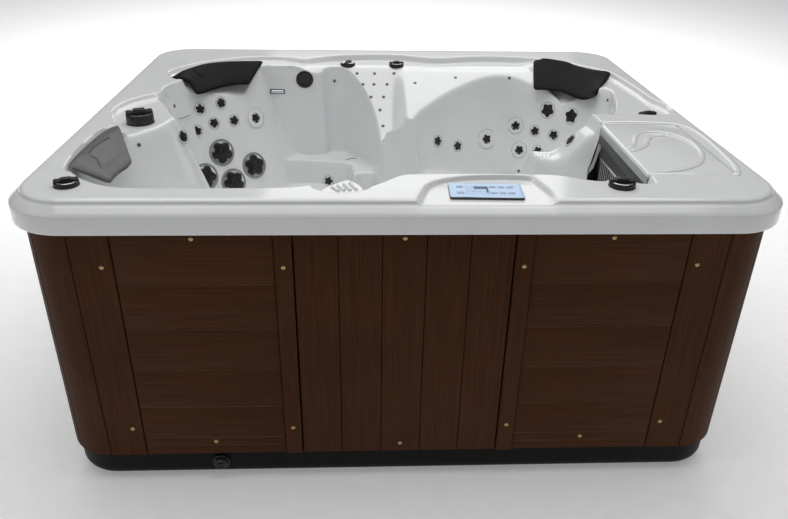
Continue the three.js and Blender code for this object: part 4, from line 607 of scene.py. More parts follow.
@dataclass(frozen=True)
class PhotoCamera:
    """A pinhole camera that stands where the photograph was taken."""

    place: Triple = (-107.926, -2484.832, 1612.148)
    focal: float = 734.482
    frame: tuple[int, int] = (788, 519)
    yaw: float = 2.81388
    pitch: float = 28.01148
    roll: float = -1.06588
    sensor: float = 36.0

    def axes(self) -> tuple[Vector, Vector, Vector]:
        """Returns the ways right, down and forward in the picture.

        Returns:
            Three unit vectors.
        """
        yaw, pitch, roll = (math.radians(turn) for turn in (self.yaw, self.pitch, self.roll))
        forward = Vector((math.sin(yaw) * math.cos(pitch), math.cos(yaw) * math.cos(pitch), -math.sin(pitch)))
        level = Vector((math.cos(yaw), -math.sin(yaw), 0.0))
        fall = forward.cross(level)
        right = math.cos(roll) * level + math.sin(roll) * fall
        down = -math.sin(roll) * level + math.cos(roll) * fall
        return right, down, forward

    def ray(self, across: float, fall: float) -> Vector:
        """Returns the way from the camera through a pixel of the photograph.

        Args:
            across: Pixels from the left.
            fall: Pixels from the top.

        Returns:
            A vector one unit deep.
        """
        right, down, forward = self.axes()
        return (forward + right * ((across - self.frame[0] / 2) / self.focal)
                + down * ((fall - self.frame[1] / 2) / self.focal))

    def build(self) -> None:
        """Makes the scene's camera."""
        right, down, forward = self.axes()
        data = bpy.data.cameras.new("photo_camera")
        data.sensor_width = self.sensor
        data.sensor_fit = "HORIZONTAL"
        data.lens = self.focal * self.sensor / self.frame[0]
        camera = bpy.data.objects.new("photo_camera", data)
        turn = Matrix((right, -down, -forward)).transposed()
        camera.matrix_world = Matrix.Translation(Vector(self.place) * METRES) @ turn.to_4x4()
        bpy.context.scene.collection.objects.link(camera)
        bpy.context.scene.camera = camera


# Shell surface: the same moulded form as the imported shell, as a height over the floor plan


def step(start: float, end: float, value: Grid) -> Grid:
    """Rises smoothly from nought to one between two values."""
    share = np.clip((value - start) / (end - start), 0.0, 1.0)
    return share * share * (3.0 - 2.0 * share)


def smooth_min(first: Grid, second: Grid, blend: float) -> Grid:
    """Returns the lower of two heights with a fillet between them."""
    share = np.clip((1.0 + (second - first) / blend) / 2.0, 0.0, 1.0)
    return second * (1.0 - share) + first * share - blend * share * (1.0 - share)


def smooth_max(first: Grid, second: Grid, blend: float) -> Grid:
    """Returns the higher of two heights with a fillet between them."""
    return -smooth_min(-first, -second, blend)


class Outline:
    """A closed outline seen from above, rounded at its corners."""

    def __init__(self, shares: Sequence[Point]) -> None:
        """Rounds the corners twice.

        Args:
            shares: Corners in thousandths of half the width and half the depth.
        """
        points = np.array(shares) / THOUSANDTHS * (HALF_WIDTH, HALF_DEPTH)
        for _ in range(2):
            after = np.roll(points, -1, axis=0)
            points = np.stack([points * 0.75 + after * 0.25, points * 0.25 + after * 0.75], 1).reshape(-1, 2)
        self.starts = points
        self.ends = np.roll(points, -1, axis=0)

    def distance(self, x: Grid, y: Grid) -> Grid:
        """Returns the distance to the outline, negative inside it.

        Args:
            x: Places across.
            y: Places in depth.

        Returns:
            The distances in millimetres.
        """
        nearest = np.full(x.shape, np.inf)
        inside = np.zeros(x.shape, bool)
        for (ax, ay), (bx, by) in zip(self.starts, self.ends):
            ex, ey, wx, wy = bx - ax, by - ay, x - ax, y - ay
            along = np.clip((wx * ex + wy * ey) / (ex * ex + ey * ey), 0.0, 1.0)
            nearest = np.minimum(nearest, (wx - ex * along) ** 2 + (wy - ey * along) ** 2)
            if ay != by:
                inside ^= ((y >= ay) != (y >= by)) & (x < ex * wy / ey + ax)
        return np.where(inside, -1.0, 1.0) * np.sqrt(nearest)


@dataclass(frozen=True)
class Wall:
    """A leaning wall that runs up from an outline."""

    outline: Outline
    slope: float
    drop: float = 0.0

    def height(self, x: Grid, y: Grid, grow: float) -> Grid:
        """Returns the wall's height, moved out by a sheet's thickness."""
        lean = math.hypot(1.0, 1.0 / self.slope)
        return RIM_HEIGHT - self.drop + self.slope * (self.outline.distance(x, y) - grow * lean)


@dataclass(frozen=True)
class Cavity:
    """A hollow of the shell: walls over a floor."""

    walls: tuple[Wall, ...]
    floor: float | Callable[[Grid, Grid], Grid]
    floor_blend: float
    edge_blend: float


@dataclass
class ShellSurface:
    """The moulded form of the shell over the plan."""

    camera: PhotoCamera
    wall_blend: float = 20.0
    footwell_floor: float = 111.3
    hollows: tuple[Cavity, ...] = ()

    def __post_init__(self) -> None:
        """Lists the hollows."""
        seat = Wall(Outline(BACK_LEFT_SEAT), 3.0, 400.0)
        self.hollows = (
            Cavity((Wall(Outline(SHOULDER), 4.0),), self.shoulder_floor, 14, 12),
            Cavity((Wall(Outline(PLATFORM), 4.0),), 884, 12, 12),
            Cavity((Wall(Outline(PANEL_RECESS), 4.0),), 886, 12, 12),
            Cavity((Wall(Outline(ARMREST), 6.0),), self.armrest_top, 20, 18),
            Cavity((Wall(Outline(RIDGE), 4.0),), 852, 20, 18),
            *(self.headrest_hollow(shares) for shares in
              (BACK_LEFT_HEADREST, BACK_RIGHT_HEADREST, FRONT_LEFT_HEADREST)),
            Cavity((Wall(Outline(BACK_LEFT_RIM), 16.0), seat), 500, 50, 26),
            Cavity((Wall(Outline(BACK_RIGHT_RIM), 10.0), Wall(Outline(BACK_RIGHT_SEAT), 3.6, 400.0)),
                   self.right_seat_floor, 50, 26),
            Cavity((Wall(Outline(FRONT_LEFT), 3.0),), 455, 90, 26),
            Cavity((Wall(Outline(FRONT_RIGHT_RIM), 10.0), Wall(Outline(FRONT_RIGHT_SEAT), 3.3)), 480, 90, 26),
            Cavity((Wall(Outline(BUCKET), 7.0, 400.0), seat), 400, 50, 20),
            Cavity((Wall(Outline(FOOTWELL), 5.0, 400.0),), self.footwell_floor, 90, 30),
        )

    @staticmethod
    def shoulder_floor(x: Grid, y: Grid) -> Grid:
        """Returns the shoulder's floor with its ledge, light ramp and divider.

        Args:
            x: Places across.
            y: Places in depth.

        Returns:
            The floor's heights.
        """
        ledge = step(-400, -300, x) * (1 - step(560, 660, x))
        top = 885 - 12 * ledge
        ramp = 868 - 0.92 * (628.14 - y)
        nose = 868 - 0.42 * (611.61 - y)
        middle = ramp + (nose - ramp) * step(15, 75, x)
        ends = 1 - step(-400, -280, x) + step(600, 700, x)
        return smooth_min(middle + (885 - middle) * ends, top, 14)

    @staticmethod
    def armrest_top(x: Grid, _y: Grid) -> Grid:
        """Returns the armrest's top, which rises to the right."""
        return 750 + 112 * step(535, 668, x)

    @staticmethod
    def right_seat_floor(x: Grid, _y: Grid) -> Grid:
        """Returns the back right seat's floor, which rises to the divider."""
        return 440 + 0.36 * np.clip(440 - x, 0, 340)

    @staticmethod
    def headrest_hollow(shares: Sequence[Point]) -> Cavity:
        """Returns the dished hollow behind a headrest."""
        outline = Outline(shares)
        return Cavity((Wall(outline, 6.0),), lambda x, y: 884 + 0.65 * outline.distance(x, y), 12, 12)

    def height(self, x: Grid, y: Grid, grow: float = 0.0,
               rim: Grid | float | None = None) -> Grid:
        """Returns the sheet's height over points of the plan.

        Args:
            x: Places across.
            y: Places in depth.
            grow: Nought for the top skin, or the sheet's thickness for the under skin.
            rim: Height of the deck, where it isn't the plain one.

        Returns:
            The heights.
        """
        level = np.zeros(x.shape) + (RIM_HEIGHT - grow if rim is None else rim)
        for hollow in self.hollows:
            side = hollow.walls[0].height(x, y, grow)
            for wall in hollow.walls[1:]:
                side = smooth_max(side, wall.height(x, y, grow), self.wall_blend)
            floor = hollow.floor(x, y) if callable(hollow.floor) else hollow.floor
            level = smooth_min(level, smooth_max(side, floor - grow, hollow.floor_blend), hollow.edge_blend)
        return level

    def facing(self, x: float, y: float, reach: float = 5.0) -> Vector:
        """Returns the way the top skin faces at a place, from its slope over twice the reach."""
        spots = self.height(np.array([x + reach, x - reach, x, x]), np.array([y, y, y + reach, y - reach]))
        return Vector((spots[1] - spots[0], spots[3] - spots[2], 2 * reach)).normalized()

    def seen(self, across: float, down: float) -> Vector:
        """Returns the place on the top skin that a pixel of the photograph shows.

        Args:
            across: Pixels from the left.
            down: Pixels from the top.

        Returns:
            The place in millimetres.
        """
        way, start = self.camera.ray(across, down), Vector(self.camera.place)
        near, far = ((RIM_HEIGHT + 5 - start.z) / way.z, (100 - start.z) / way.z)
        for _ in range(3):
            depths = np.linspace(near, far, 160)
            gap = start.z + depths * way.z - self.height(start.x + depths * way.x, start.y + depths * way.y)
            first = int(np.argmax(gap <= 0))
            near, far = depths[max(first - 1, 0)], depths[first]
        return start + way * float(far)


# Shell mesh


@dataclass(frozen=True)
class Rim:
    """The shell's outer edge: a rounded rectangle and a moulded lip."""

    corner: float = 165.0
    profile: Profile = ((41.0, 0.35), (36.5, 1.6), (33.0, 3.4), (31.2, 5.2), (30.6, 7.0), (29.5, 9.8),
                        (26.5, 12.6), (22.8, 14.6), (20.4, 15.8), (19.0, 16.9), (10.0, 24.4), (1.6, 31.2),
                        (0.5, 33.0), (0.0, 36.0), (0.0, 74.0), (0.3, 78.5), (1.6, 80.6), (3.0, 81.0))
    inner: Profile = ((6.0, 81.0), (7.0, 80.0), (7.0, 40.0), (26.0, 22.0), (46.0, 10.0))
    deck: float = 46.0

    def point(self, turn: Grid, inset: float) -> tuple[Grid, Grid]:
        """Returns points round the rim.

        Args:
            turn: Shares of the way round, from the front left corner's end.
            inset: Distance in from the lip's face.

        Returns:
            Places across and in depth.
        """
        half = (HALF_WIDTH - self.corner, HALF_DEPTH - self.corner)
        arc = math.pi / 2 * self.corner
        lengths = np.array([2 * half[0], arc, 2 * half[1], arc] * 2)
        marks = np.concatenate([[0.0], np.cumsum(lengths)])
        way = (np.asarray(turn) % 1.0) * marks[-1]
        part = np.clip(np.searchsorted(marks, way, side="right") - 1, 0, 7)
        along = (way - marks[part]) / lengths[part]
        quarter = part // 2
        angle = -math.pi / 2 + quarter * math.pi / 2 + np.where(part % 2, along * math.pi / 2, 0.0)
        run = np.where(part % 2, 1.0, 2 * along - 1.0)
        side = quarter * math.pi / 2
        long, deep = np.where(quarter % 2, half[1], half[0]), np.where(quarter % 2, half[0], half[1])
        base_x = np.cos(side) * run * long + np.sin(side) * deep
        base_y = np.sin(side) * run * long - np.cos(side) * deep
        reach = self.corner - inset
        return base_x + reach * np.cos(angle), base_y + reach * np.sin(angle)


@dataclass(frozen=True)
class WellCut:
    """The box that the filter well and the skimmer's mouth take out of the shell."""

    low: Triple = (636.0, -670.0, 642.0)
    high: Triple = (905.0, -230.0, 960.0)
    reach: float = 30.0

    def holds(self, spot: Vector, margin: float = 0.0) -> bool:
        """Tells whether a place lies in the box."""
        return all(low - margin < value < high + margin for low, value, high in zip(self.low, spot, self.high))

    def cut(self, mesh: bmesh.types.BMesh) -> None:
        """Cuts both skins along the box's sides and joins them there.

        Args:
            mesh: The shell's mesh.
        """
        for axis, value in [*enumerate(self.low), *enumerate(self.high[:2])]:
            faces = [face for face in mesh.faces if any(self.holds(vert.co, self.reach) for vert in face.verts)]
            edges, verts = {e for face in faces for e in face.edges}, {v for face in faces for v in face.verts}
            bmesh.ops.bisect_plane(mesh, geom=[*faces, *edges, *verts], dist=0.001,
                                   plane_co=[value * (k == axis) for k in range(3)],
                                   plane_no=[float(k == axis) for k in range(3)])
        inside = [face for face in mesh.faces if self.holds(face.calc_center_median())]
        bmesh.ops.delete(mesh, geom=inside, context="FACES")
        sides = [edge for edge in mesh.edges if edge.is_boundary and all(self.holds(v.co, 0.5) for v in edge.verts)]
        bmesh.ops.bridge_loops(mesh, edges=sides)


@dataclass
class TubShell:
    """The moulded shell: a ring grid drawn over the surface, with a lip and an under skin."""

    surface: ShellSurface
    rim: Rim = Rim()
    rays: int = 600
    stations: int = 104
    under_stations: int = 16
    centre: Point = (0.0, -60.0)
    thickness: float = 10.0
    bend_weight: float = 75.0

    def plan(self, turns: Grid, shares: Grid) -> tuple[Grid, Grid]:
        """Returns places on rays from the middle to the deck's edge."""
        x, y = self.rim.point(turns, self.rim.deck)
        return (self.centre[0] + (x - self.centre[0]) * shares, self.centre[1] + (y - self.centre[1]) * shares)

    @staticmethod
    def spread(weights: Grid, count: int) -> Grid:
        """Returns places that share the weights out evenly.

        Args:
            weights: One weight for each equal step from nought to one.
            count: Number of places, the last at one.

        Returns:
            The places, as shares.
        """
        total = np.concatenate([[0.0], np.cumsum(weights)])
        goals = np.arange(1, count + 1) / count * total[-1]
        return np.interp(goals, total, np.linspace(0.0, 1.0, len(total)))

    def ray_turns(self) -> Grid:
        """Returns the turns of the rays, closer together where edges run along them.

        Returns:
            Shares of the way round.
        """
        samples = 900
        turns = (np.arange(samples) + 0.5) / samples
        depths = np.linspace(0.15, 1.0, 48)
        x, y = self.plan(turns[:, None], depths[None, :])
        height = self.surface.height(x, y)
        run = np.maximum(np.hypot(np.roll(x, -1, 0) - x, np.roll(y, -1, 0) - y), 1.0)
        angle = np.arctan2(np.roll(height, -1, 0) - height, run)
        bend = np.abs(angle - np.roll(angle, 1, 0)) * depths[None, :]
        weight = run.mean(1) + self.bend_weight * 0.3 * bend.sum(1) / 6
        weight = np.convolve(np.concatenate([weight[-3:], weight, weight[:3]]), np.ones(7) / 7, "valid")
        return self.spread(weight, self.rays)

    def ray_shares(self, turns: Grid) -> Grid:
        """Returns each ray's stations, closer together where the form bends.

        Args:
            turns: The rays' turns.

        Returns:
            One row of shares for each ray.
        """
        samples = 220
        depths = np.linspace(0.0, 1.0, samples + 1)
        x, y = self.plan(turns[:, None], depths[None, :])
        height = self.surface.height(x, y)
        run = np.hypot(np.diff(x, axis=1), np.diff(y, axis=1))
        angle = np.arctan2(np.diff(height, axis=1), run)
        bend = np.abs(np.diff(angle, axis=1, prepend=angle[:, :1]))
        weight = run / np.cos(angle) + self.bend_weight * bend
        for _ in range(6):
            weight = (np.roll(weight, 1, 0) + 2 * weight + np.roll(weight, -1, 0)) / 4
        soft = np.pad(weight, ((0, 0), (2, 2)), mode="edge")
        weight = sum(soft[:, k:k + samples] for k in range(5)) / 5
        return np.stack([self.spread(row, self.stations) for row in weight])

    def skin(self, turns: Grid, shares: Grid, grow: float = 0.0) -> list[Grid]:
        """Returns rings of one skin, one for each column of shares."""
        x, y = self.plan(turns[:, None], shares)
        return list(np.stack([x, y, self.surface.height(x, y, grow)], -1).swapaxes(0, 1))

    def rings(self) -> Grid:
        """Returns the rings of points, from the middle out over the lip and back under.

        Returns:
            One row of points for each ring.
        """
        turns = self.ray_turns()
        shares = self.ray_shares(turns)
        rows = self.skin(turns, shares)
        for profile, grow in ((self.rim.profile, 0.0), (self.rim.inner, self.thickness)):
            for inset, drop in profile:
                x, y = self.rim.point(turns, inset)
                rows.append(np.stack([x, y, self.surface.height(x, y, grow, RIM_HEIGHT - drop)], 1))
        picks = np.linspace(self.stations - 1, 0, self.under_stations).round().astype(int)
        return np.stack(rows + self.skin(turns, shares[:, picks], self.thickness)[1:])

    def build(self) -> None:
        """Builds the shell from a plane grid that is wrapped round the rings."""
        work = Workpiece("moulded_shell")
        work.wrapped(self.rings())
        WellCut().cut(work.mesh)
        bmesh.ops.recalc_face_normals(work.mesh, faces=work.mesh.faces)
        work.finish("tub_shell", crease=60.0)


# Cabinet and base pan


def rounded(width: float, depth: float, corner: float, steps: int = 10) -> list[Point]:
    """Returns the outline of a rounded rectangle about the origin.

    Args:
        width: Its width.
        depth: Its depth.
        corner: Radius of its corners.
        steps: Steps round a corner.

    Returns:
        Its corners.
    """
    points = []
    for quarter in range(4):
        centre = (width / 2 - corner) * (1, -1, -1, 1)[quarter], (depth / 2 - corner) * (1, 1, -1, -1)[quarter]
        for index in range(steps + 1):
            angle = (quarter + index / steps) * math.pi / 2
            points.append((centre[0] + corner * math.cos(angle), centre[1] + corner * math.sin(angle)))
    return points


@dataclass(frozen=True)
class Screw:
    """A brass-coloured domed screw with a driver recess."""

    radius: float = 6.5
    dome: float = 3.0
    recess: float = 2.3
    sides: int = 20

    def add(self, work: Workpiece, place: Sequence[float], axis: Vector, number: int) -> None:
        """Sets one screw into a panel.

        Args:
            work: The panel's workpiece.
            place: Middle of the screw's foot.
            axis: The way that it faces.
            number: The finish of its faces.
        """
        head = [(0.0, self.dome - 1.3), (self.recess * 0.8, self.dome - 1.3), (self.recess, self.dome - 0.2),
                (self.radius * 0.6, self.dome * 0.86), (self.radius * 0.88, self.dome * 0.5),
                (self.radius, 0.2), (self.radius, -1.5), (0.0, -1.5)]
        work.seat(place, axis, verts=work.turned(head, self.sides, number))


@dataclass(frozen=True)
class Cabinet:
    """The wood-effect cladding: plank panels, boarded panels and rounded corner panels."""

    inset: float = 26.0
    thickness: float = 20.0
    board: float = 13.0
    foot: float = 101.3
    top: float = 860.0
    lip_foot: float = 819.0
    span: float = 269.0
    centre_share: float = 0.386
    seam: float = 3.0
    gap: float = 1.2
    bevel: float = 2.4
    lines: tuple[float, ...] = (133.3, 162.0, 273.3, 399.0, 531.8, 668.2)
    batten: float = 46.0
    proud: float = 5.0
    boards: int = 5
    corner: float = 165.0
    screw: Screw = Screw()
    stile_screws: Point = (719.0, 198.0)
    plank_screws: Point = (798.0, 147.0)
    board_screws: Point = (798.0, 131.0)
    corner_screw: float = 75.0

    def build(self) -> None:
        """Builds every panel and turns it to its side."""
        for quarter, side in enumerate(("front", "right", "back", "left")):
            half, reach = (HALF_DEPTH, HALF_WIDTH) if quarter % 2 else (HALF_WIDTH, HALF_DEPTH)
            face = self.inset - reach
            end = half - self.span - self.seam / 2
            middle = (half - self.span) * self.centre_share
            self.plank_panel(f"{side}_left", -end, -middle - self.seam / 2, face, quarter)
            self.plank_panel(f"{side}_right", middle + self.seam / 2, end, face, quarter)
            self.board_panel(side, middle - self.seam / 2, face, quarter)
        for quarter, name in enumerate(("front_right", "back_right", "back_left", "front_left")):
            self.corner_panel(name, quarter)

    def plank_panel(self, name: str, start: float, end: float, face: float, quarter: int) -> None:
        """Builds planks beside an upright batten.

        Args:
            name: The panel's name without its last words.
            start: Where it starts along its side.
            end: Where it ends along its side.
            face: Depth of its face.
            quarter: Quarter turns from the front to its side.
        """
        work = Workpiece(f"{name}_planks", TUB, (PALETTE.plank, PALETTE.board, PALETTE.plank_bevel_highlight,
                                                 PALETTE.groove, PALETTE.brass))
        at_end = start < 0
        batten = (end - self.batten, end) if at_end else (start, start + self.batten)
        run = (start, batten[0] - self.gap) if at_end else (batten[1] + self.gap, end)
        heights = (self.foot, *self.lines, self.top)
        for low, high in zip(heights, heights[1:]):
            plank = work.block((run[0], face, low + self.gap / 2), (run[1], face + self.board, high - self.gap / 2),
                               self.bevel)
            self.edge(plank, face, high - self.bevel, work)
        work.block((start, face + self.board - 0.5, self.foot), (end, face + self.thickness, self.top), number=3)
        work.block((batten[0], face - self.proud, self.foot + 0.4),
                   (batten[1], face + self.board, self.lip_foot - 1.2), self.bevel, number=1)
        for height in self.stile_screws:
            self.screw.add(work, ((batten[0] + batten[1]) / 2, face - self.proud, height), FRONT, 4)
        for height in self.plank_screws:
            self.screw.add(work, ((run[0] + run[1]) / 2, face, height), FRONT, 4)
        work.seat((0, 0, 0), UP, quarter * math.pi / 2)
        work.finish(f"{name}_plank_panel")

    @staticmethod
    def edge(verts: Verts, face: float, above: float, work: Workpiece) -> None:
        """Paints the upper front bevel of a plank a lighter colour: a painted highlight along its top edge.

        Args:
            verts: The plank's vertices.
            face: Depth of its face.
            above: Height where the bevel starts.
            work: The panel's workpiece.
        """
        near = {vert for vert in verts if vert.co.z > above - 0.2 and vert.co.y < face + 3.0}
        lit = {item for vert in near for item in vert.link_faces if all(corner in near for corner in item.verts)}
        # These bevel faces get the lighter colour, a painted highlight along the plank's top edge.
        work.paint([item for item in lit if abs(item.normal.z) < 0.98], 2)

    def board_panel(self, side: str, half: float, face: float, quarter: int) -> None:
        """Builds the upright boards of a middle panel.

        Args:
            side: The side's name.
            half: Half its length.
            face: Depth of its face.
            quarter: Quarter turns from the front to its side.
        """
        work = Workpiece(f"{side}_boards", TUB, (PALETTE.board, PALETTE.groove, PALETTE.brass))
        width = 2 * half / self.boards
        for index in range(self.boards):
            low = -half + index * width
            work.block((low + self.gap / 2, face, self.foot), (low + width - self.gap / 2, face + self.board, self.top),
                       self.bevel)
        work.block((-half, face + self.board - 0.5, self.foot), (half, face + self.thickness, self.top), number=1)
        for height in self.board_screws:
            self.screw.add(work, (0, face, height), FRONT, 2)
        work.seat((0, 0, 0), UP, quarter * math.pi / 2)
        work.finish(f"{side}_middle_panel")

    def corner_panel(self, name: str, quarter: int) -> None:
        """Builds two stiles and two curved boards round a corner.

        Args:
            name: The corner's name.
            quarter: Quarter turns from the front right corner.
        """
        work = Workpiece(f"{name}_corner_boards", TUB, (PALETTE.board, PALETTE.groove, PALETTE.brass))
        outer = self.corner - self.inset
        flat = self.span - self.corner - self.seam / 2
        for start, end in ((-90.0, -45.0), (-45.0, 0.0)):
            work.plate(self.arc_board(outer, outer - self.board, start, end), self.foot, self.top)
        for turn in (0.0, 90.0):
            board = work.plate(self.stile(outer, flat), self.foot, self.top)
            work.seat((0, 0, 0), UP, math.radians(turn), verts=board)
            if turn:
                bmesh.ops.transform(work.mesh, verts=board, matrix=Matrix.Scale(-1, 4, (0, 1, 0)))
        back = self.arc_board(outer - self.board + 0.5, outer - self.thickness, -90.0, 0.0)
        work.plate(back, self.foot, self.top, number=1)
        for height in self.stile_screws:
            self.screw.add(work, (-self.corner_screw, -outer, height), FRONT, 2)
            self.screw.add(work, (outer, self.corner_screw, height), Vector((1, 0, 0)), 2)
        bmesh.ops.recalc_face_normals(work.mesh, faces=work.mesh.faces)
        sign = ((1, -1), (1, 1), (-1, 1), (-1, -1))[quarter]
        centre = (sign[0] * (HALF_WIDTH - self.corner), sign[1] * (HALF_DEPTH - self.corner), 0)
        work.seat(centre, UP, quarter * math.pi / 2)
        work.finish(f"{name}_corner_panel")

    def stile(self, outer: float, flat: float) -> list[Point]:
        """Returns the outline of the flat stile in front of a corner.

        Args:
            outer: Radius of the face round the corner.
            flat: Length of the stile.

        Returns:
            Its corners.
        """
        cut, half = self.bevel, self.gap / 2
        return [(-flat, -outer + self.board), (-flat, -outer + cut), (-flat + cut, -outer), (-half - cut, -outer),
                (-half, -outer + cut), (-half, -outer + self.board)]

    def arc_board(self, outer: float, inner: float, start: float, end: float, steps: int = 8) -> list[Point]:
        """Returns the outline of a curved board with bevelled outer corners.

        Args:
            outer: Radius of its face.
            inner: Radius of its back.
            start: Turn where it starts, in degrees.
            end: Turn where it ends, in degrees.
            steps: Steps round its face.

        Returns:
            Its corners.
        """
        trim = math.degrees(self.gap / 2 / outer)
        cut = math.degrees(self.bevel / outer)
        low, high = start + trim, end - trim
        turns = [low + cut + (high - low - 2 * cut) * index / steps for index in range(steps + 1)]
        spots = [(inner, low), (outer - self.bevel, low), *((outer, turn) for turn in turns),
                 (outer - self.bevel, high), (inner, high)]
        spots += [(inner, turn) for turn in reversed(turns)]
        return [(radius * math.cos(math.radians(turn)), radius * math.sin(math.radians(turn)))
                for radius, turn in spots]


@dataclass(frozen=True)
class BasePan:
    """The black moulded tray under the cabinet, on three skids."""

    inset: float = 38.0
    height: float = 101.0
    floor: float = 20.0
    skid: float = 8.0
    wall: float = 12.0
    foot_bevel: float = 34.0
    corner: float = 127.0
    skids: tuple[Point, ...] = ((-820.0, -510.0), (-246.0, 240.0), (495.0, 820.0))

    def build(self) -> None:
        """Builds the tray, hollows it and puts the skids under it."""
        work = Workpiece("moulded_base_pan", TUB, (PALETTE.pan,))
        outline = rounded(2 * (HALF_WIDTH - self.inset), 2 * (HALF_DEPTH - self.inset), self.corner, 12)
        work.plate(outline, self.skid, self.height, self.foot_bevel, 6)
        flip = Matrix.Translation((0, 0, self.skid + self.height)) @ Matrix.Rotation(math.pi, 4, "X")
        bmesh.ops.transform(work.mesh, matrix=flip, verts=work.mesh.verts)
        bmesh.ops.recalc_face_normals(work.mesh, faces=work.mesh.faces)
        mouth = max((item for item in work.mesh.faces if item.calc_center_median().z > self.height - 1),
                    key=lambda item: item.calc_area())
        bmesh.ops.inset_region(work.mesh, faces=[mouth], thickness=self.wall, use_even_offset=True)
        bmesh.ops.translate(work.mesh, verts=mouth.verts, vec=(0, 0, self.floor - self.height))
        reach = HALF_DEPTH - self.inset - 30.0
        for start, end in self.skids:
            work.block((start, -reach, 0), (end, reach, self.skid + 2), 3.0, 3)
        work.finish("base_pan")


# Jets, knobs and lights


@dataclass(frozen=True)
class JetStyle:
    """The form of one kind of jet."""

    flange: float
    height: float
    groove: float
    cup: float
    star: float
    valley: float
    point: float
    lift: float
    ring: Finish
    foot: float = 5.0
    points: int = 5


BIG_JET = JetStyle(54.5, 8.0, 0.0, 44.8, 43.4, 0.76, 0.75, 17.0, PALETTE.lens_grey)
MEDIUM_JET = JetStyle(36.0, 3.6, 33.0, 30.0, 28.0, 0.74, 0.9, 9.0, PALETTE.acrylic)
SMALL_JET = JetStyle(25.5, 2.4, 23.6, 19.2, 18.2, 0.7, 0.9, 5.0, PALETTE.acrylic)
RINGED_JET = JetStyle(36.0, 2.6, 33.6, 19.6, 18.4, 0.7, 0.9, 5.0, PALETTE.acrylic)
WIDE_JET = JetStyle(44.0, 2.8, 41.0, 21.0, 19.6, 0.7, 0.9, 5.0, PALETTE.acrylic)


@dataclass(frozen=True)
class Jet:
    """A hydrotherapy jet: flange, chrome cup and turning star."""

    style: JetStyle
    name: str
    body: str = TUB
    spin: float = 0.3

    def build(self, place: Sequence[float], axis: Vector, *nodes: str) -> None:
        """Builds the jet and seats it in the wall.

        Args:
            place: Middle of the jet on the wall's face, in millimetres.
            axis: The way that the jet faces.
            *nodes: The CAD nodes that it stands for.
        """
        style = self.style
        work = Workpiece(self.name, self.body, (style.ring, PALETTE.black, PALETTE.chrome, PALETTE.line))
        self.flange(work)
        work.turned([(0.0, -1.0), (style.cup * 0.7, -1.0), (style.cup - 0.8, style.height - 0.9),
                     (style.cup, style.height - 0.9), (style.cup, -style.foot + 0.5), (0.0, -style.foot + 0.5)],
                    48, 2)
        work.plate(self.outline(style.star), -0.8, style.lift * 0.72, style.star * 0.07, 3, 1)
        if style.star > 30:
            self.face(work)
        work.seat(place, axis, self.spin)
        work.finish(*nodes)

    def flange(self, work: Workpiece) -> None:
        """Turns the rounded flange and a thin grey band round it, painted shade that stands for a groove.

        Args:
            work: The jet's workpiece.
        """
        style = self.style
        flange, height, cup = style.flange, style.height, style.cup
        work.turned([(0.0, -style.foot), (flange - 1.0, -style.foot), (flange, -style.foot + 1.0),
                     (flange, height * 0.25), (flange - 0.8, height * 0.7), (flange - 2.4, height),
                     (cup + 1.6, height), (cup + 0.4, height * 0.86), (cup, height * 0.5),
                     (cup, -style.foot + 1.2), (0.0, -style.foot + 1.2)], 56)
        # The groove is a thin grey band on the flange's top rather than a cut: painted shade.
        if style.groove:
            low, high = height - 0.5, height + 0.12
            work.turned([(style.groove - 0.8, low), (style.groove + 0.8, low), (style.groove + 0.8, high),
                         (style.groove - 0.8, high), (style.groove - 0.8, low)], 56, 3)

    def outline(self, reach: float) -> list[Point]:
        """Returns the star's outline.

        Args:
            reach: Reach of the star's points.

        Returns:
            Its corners.
        """
        style = self.style
        return ring(70, lambda turn: reach * (style.valley + (1 - style.valley) * (
            (1 + math.cos(turn * style.points)) / 2) ** style.point))

    def face(self, work: Workpiece) -> None:
        """Adds the raised edge, hub and swirl of a big jet's star.

        Args:
            work: The jet's workpiece.
        """
        style = self.style
        base = style.lift * 0.72 - 0.4
        work.plate(self.outline(style.star * 0.78), base, style.lift * 0.86, 1.4, 2, 1)
        work.turned([(0.0, base + 3.6), (4.0, base + 3.6), (5.6, base + 5.4), (10.6, base + 5.4), (12.6, base + 3.0),
                     (12.6, base), (0.0, base)], 32, 1)
        for index in range(style.points):
            turn = (index + 0.5) / style.points * math.tau
            spot = Vector((math.cos(turn), math.sin(turn), 0)) * 17.5
            arm = work.block((-6.5, -1.3, 0), (6.5, 1.3, 3.6), 0.9, 2, 1)
            work.seat((spot.x, spot.y, base + 0.6), UP, turn + 0.75, arm)


@dataclass(frozen=True)
class Lights:
    """Small lens lights set in the shell, placed where the photograph shows them."""

    pixels: tuple[Point, ...] = (
        (174.4, 106), (139, 145), (334.5, 81), (415, 83), (455.5, 77.6), (509.4, 78), (607.7, 100),
        (357, 73.5), (374.5, 73.5), (394, 73.5), (363, 84.4), (374, 84.4), (387, 84.4), (371, 97), (383.6, 97),
        (380, 110), (383, 126), (518.8, 171),
    )

    def build(self, surface: ShellSurface) -> None:
        """Sets every light square on the shell.

        Args:
            surface: The shell's form.
        """
        for number, pixel in enumerate(self.pixels, 1):
            spot = surface.seen(*pixel)
            work = Workpiece(f"shell_light_{number}", TUB, (PALETTE.grey, PALETTE.dark_grey))
            work.turned([(0.0, -2.0), (6.6, -2.0), (7.0, 0.4), (6.2, 1.3), (4.6, 1.5), (4.0, 0.6), (0.0, 0.4)], 24)
            work.turned([(0.0, 1.7), (1.8, 1.45), (3.3, 0.9), (3.6, 0.3), (0.0, 0.3)], 20, 1)
            work.seat(spot, surface.facing(spot.x, spot.y))
            work.finish()


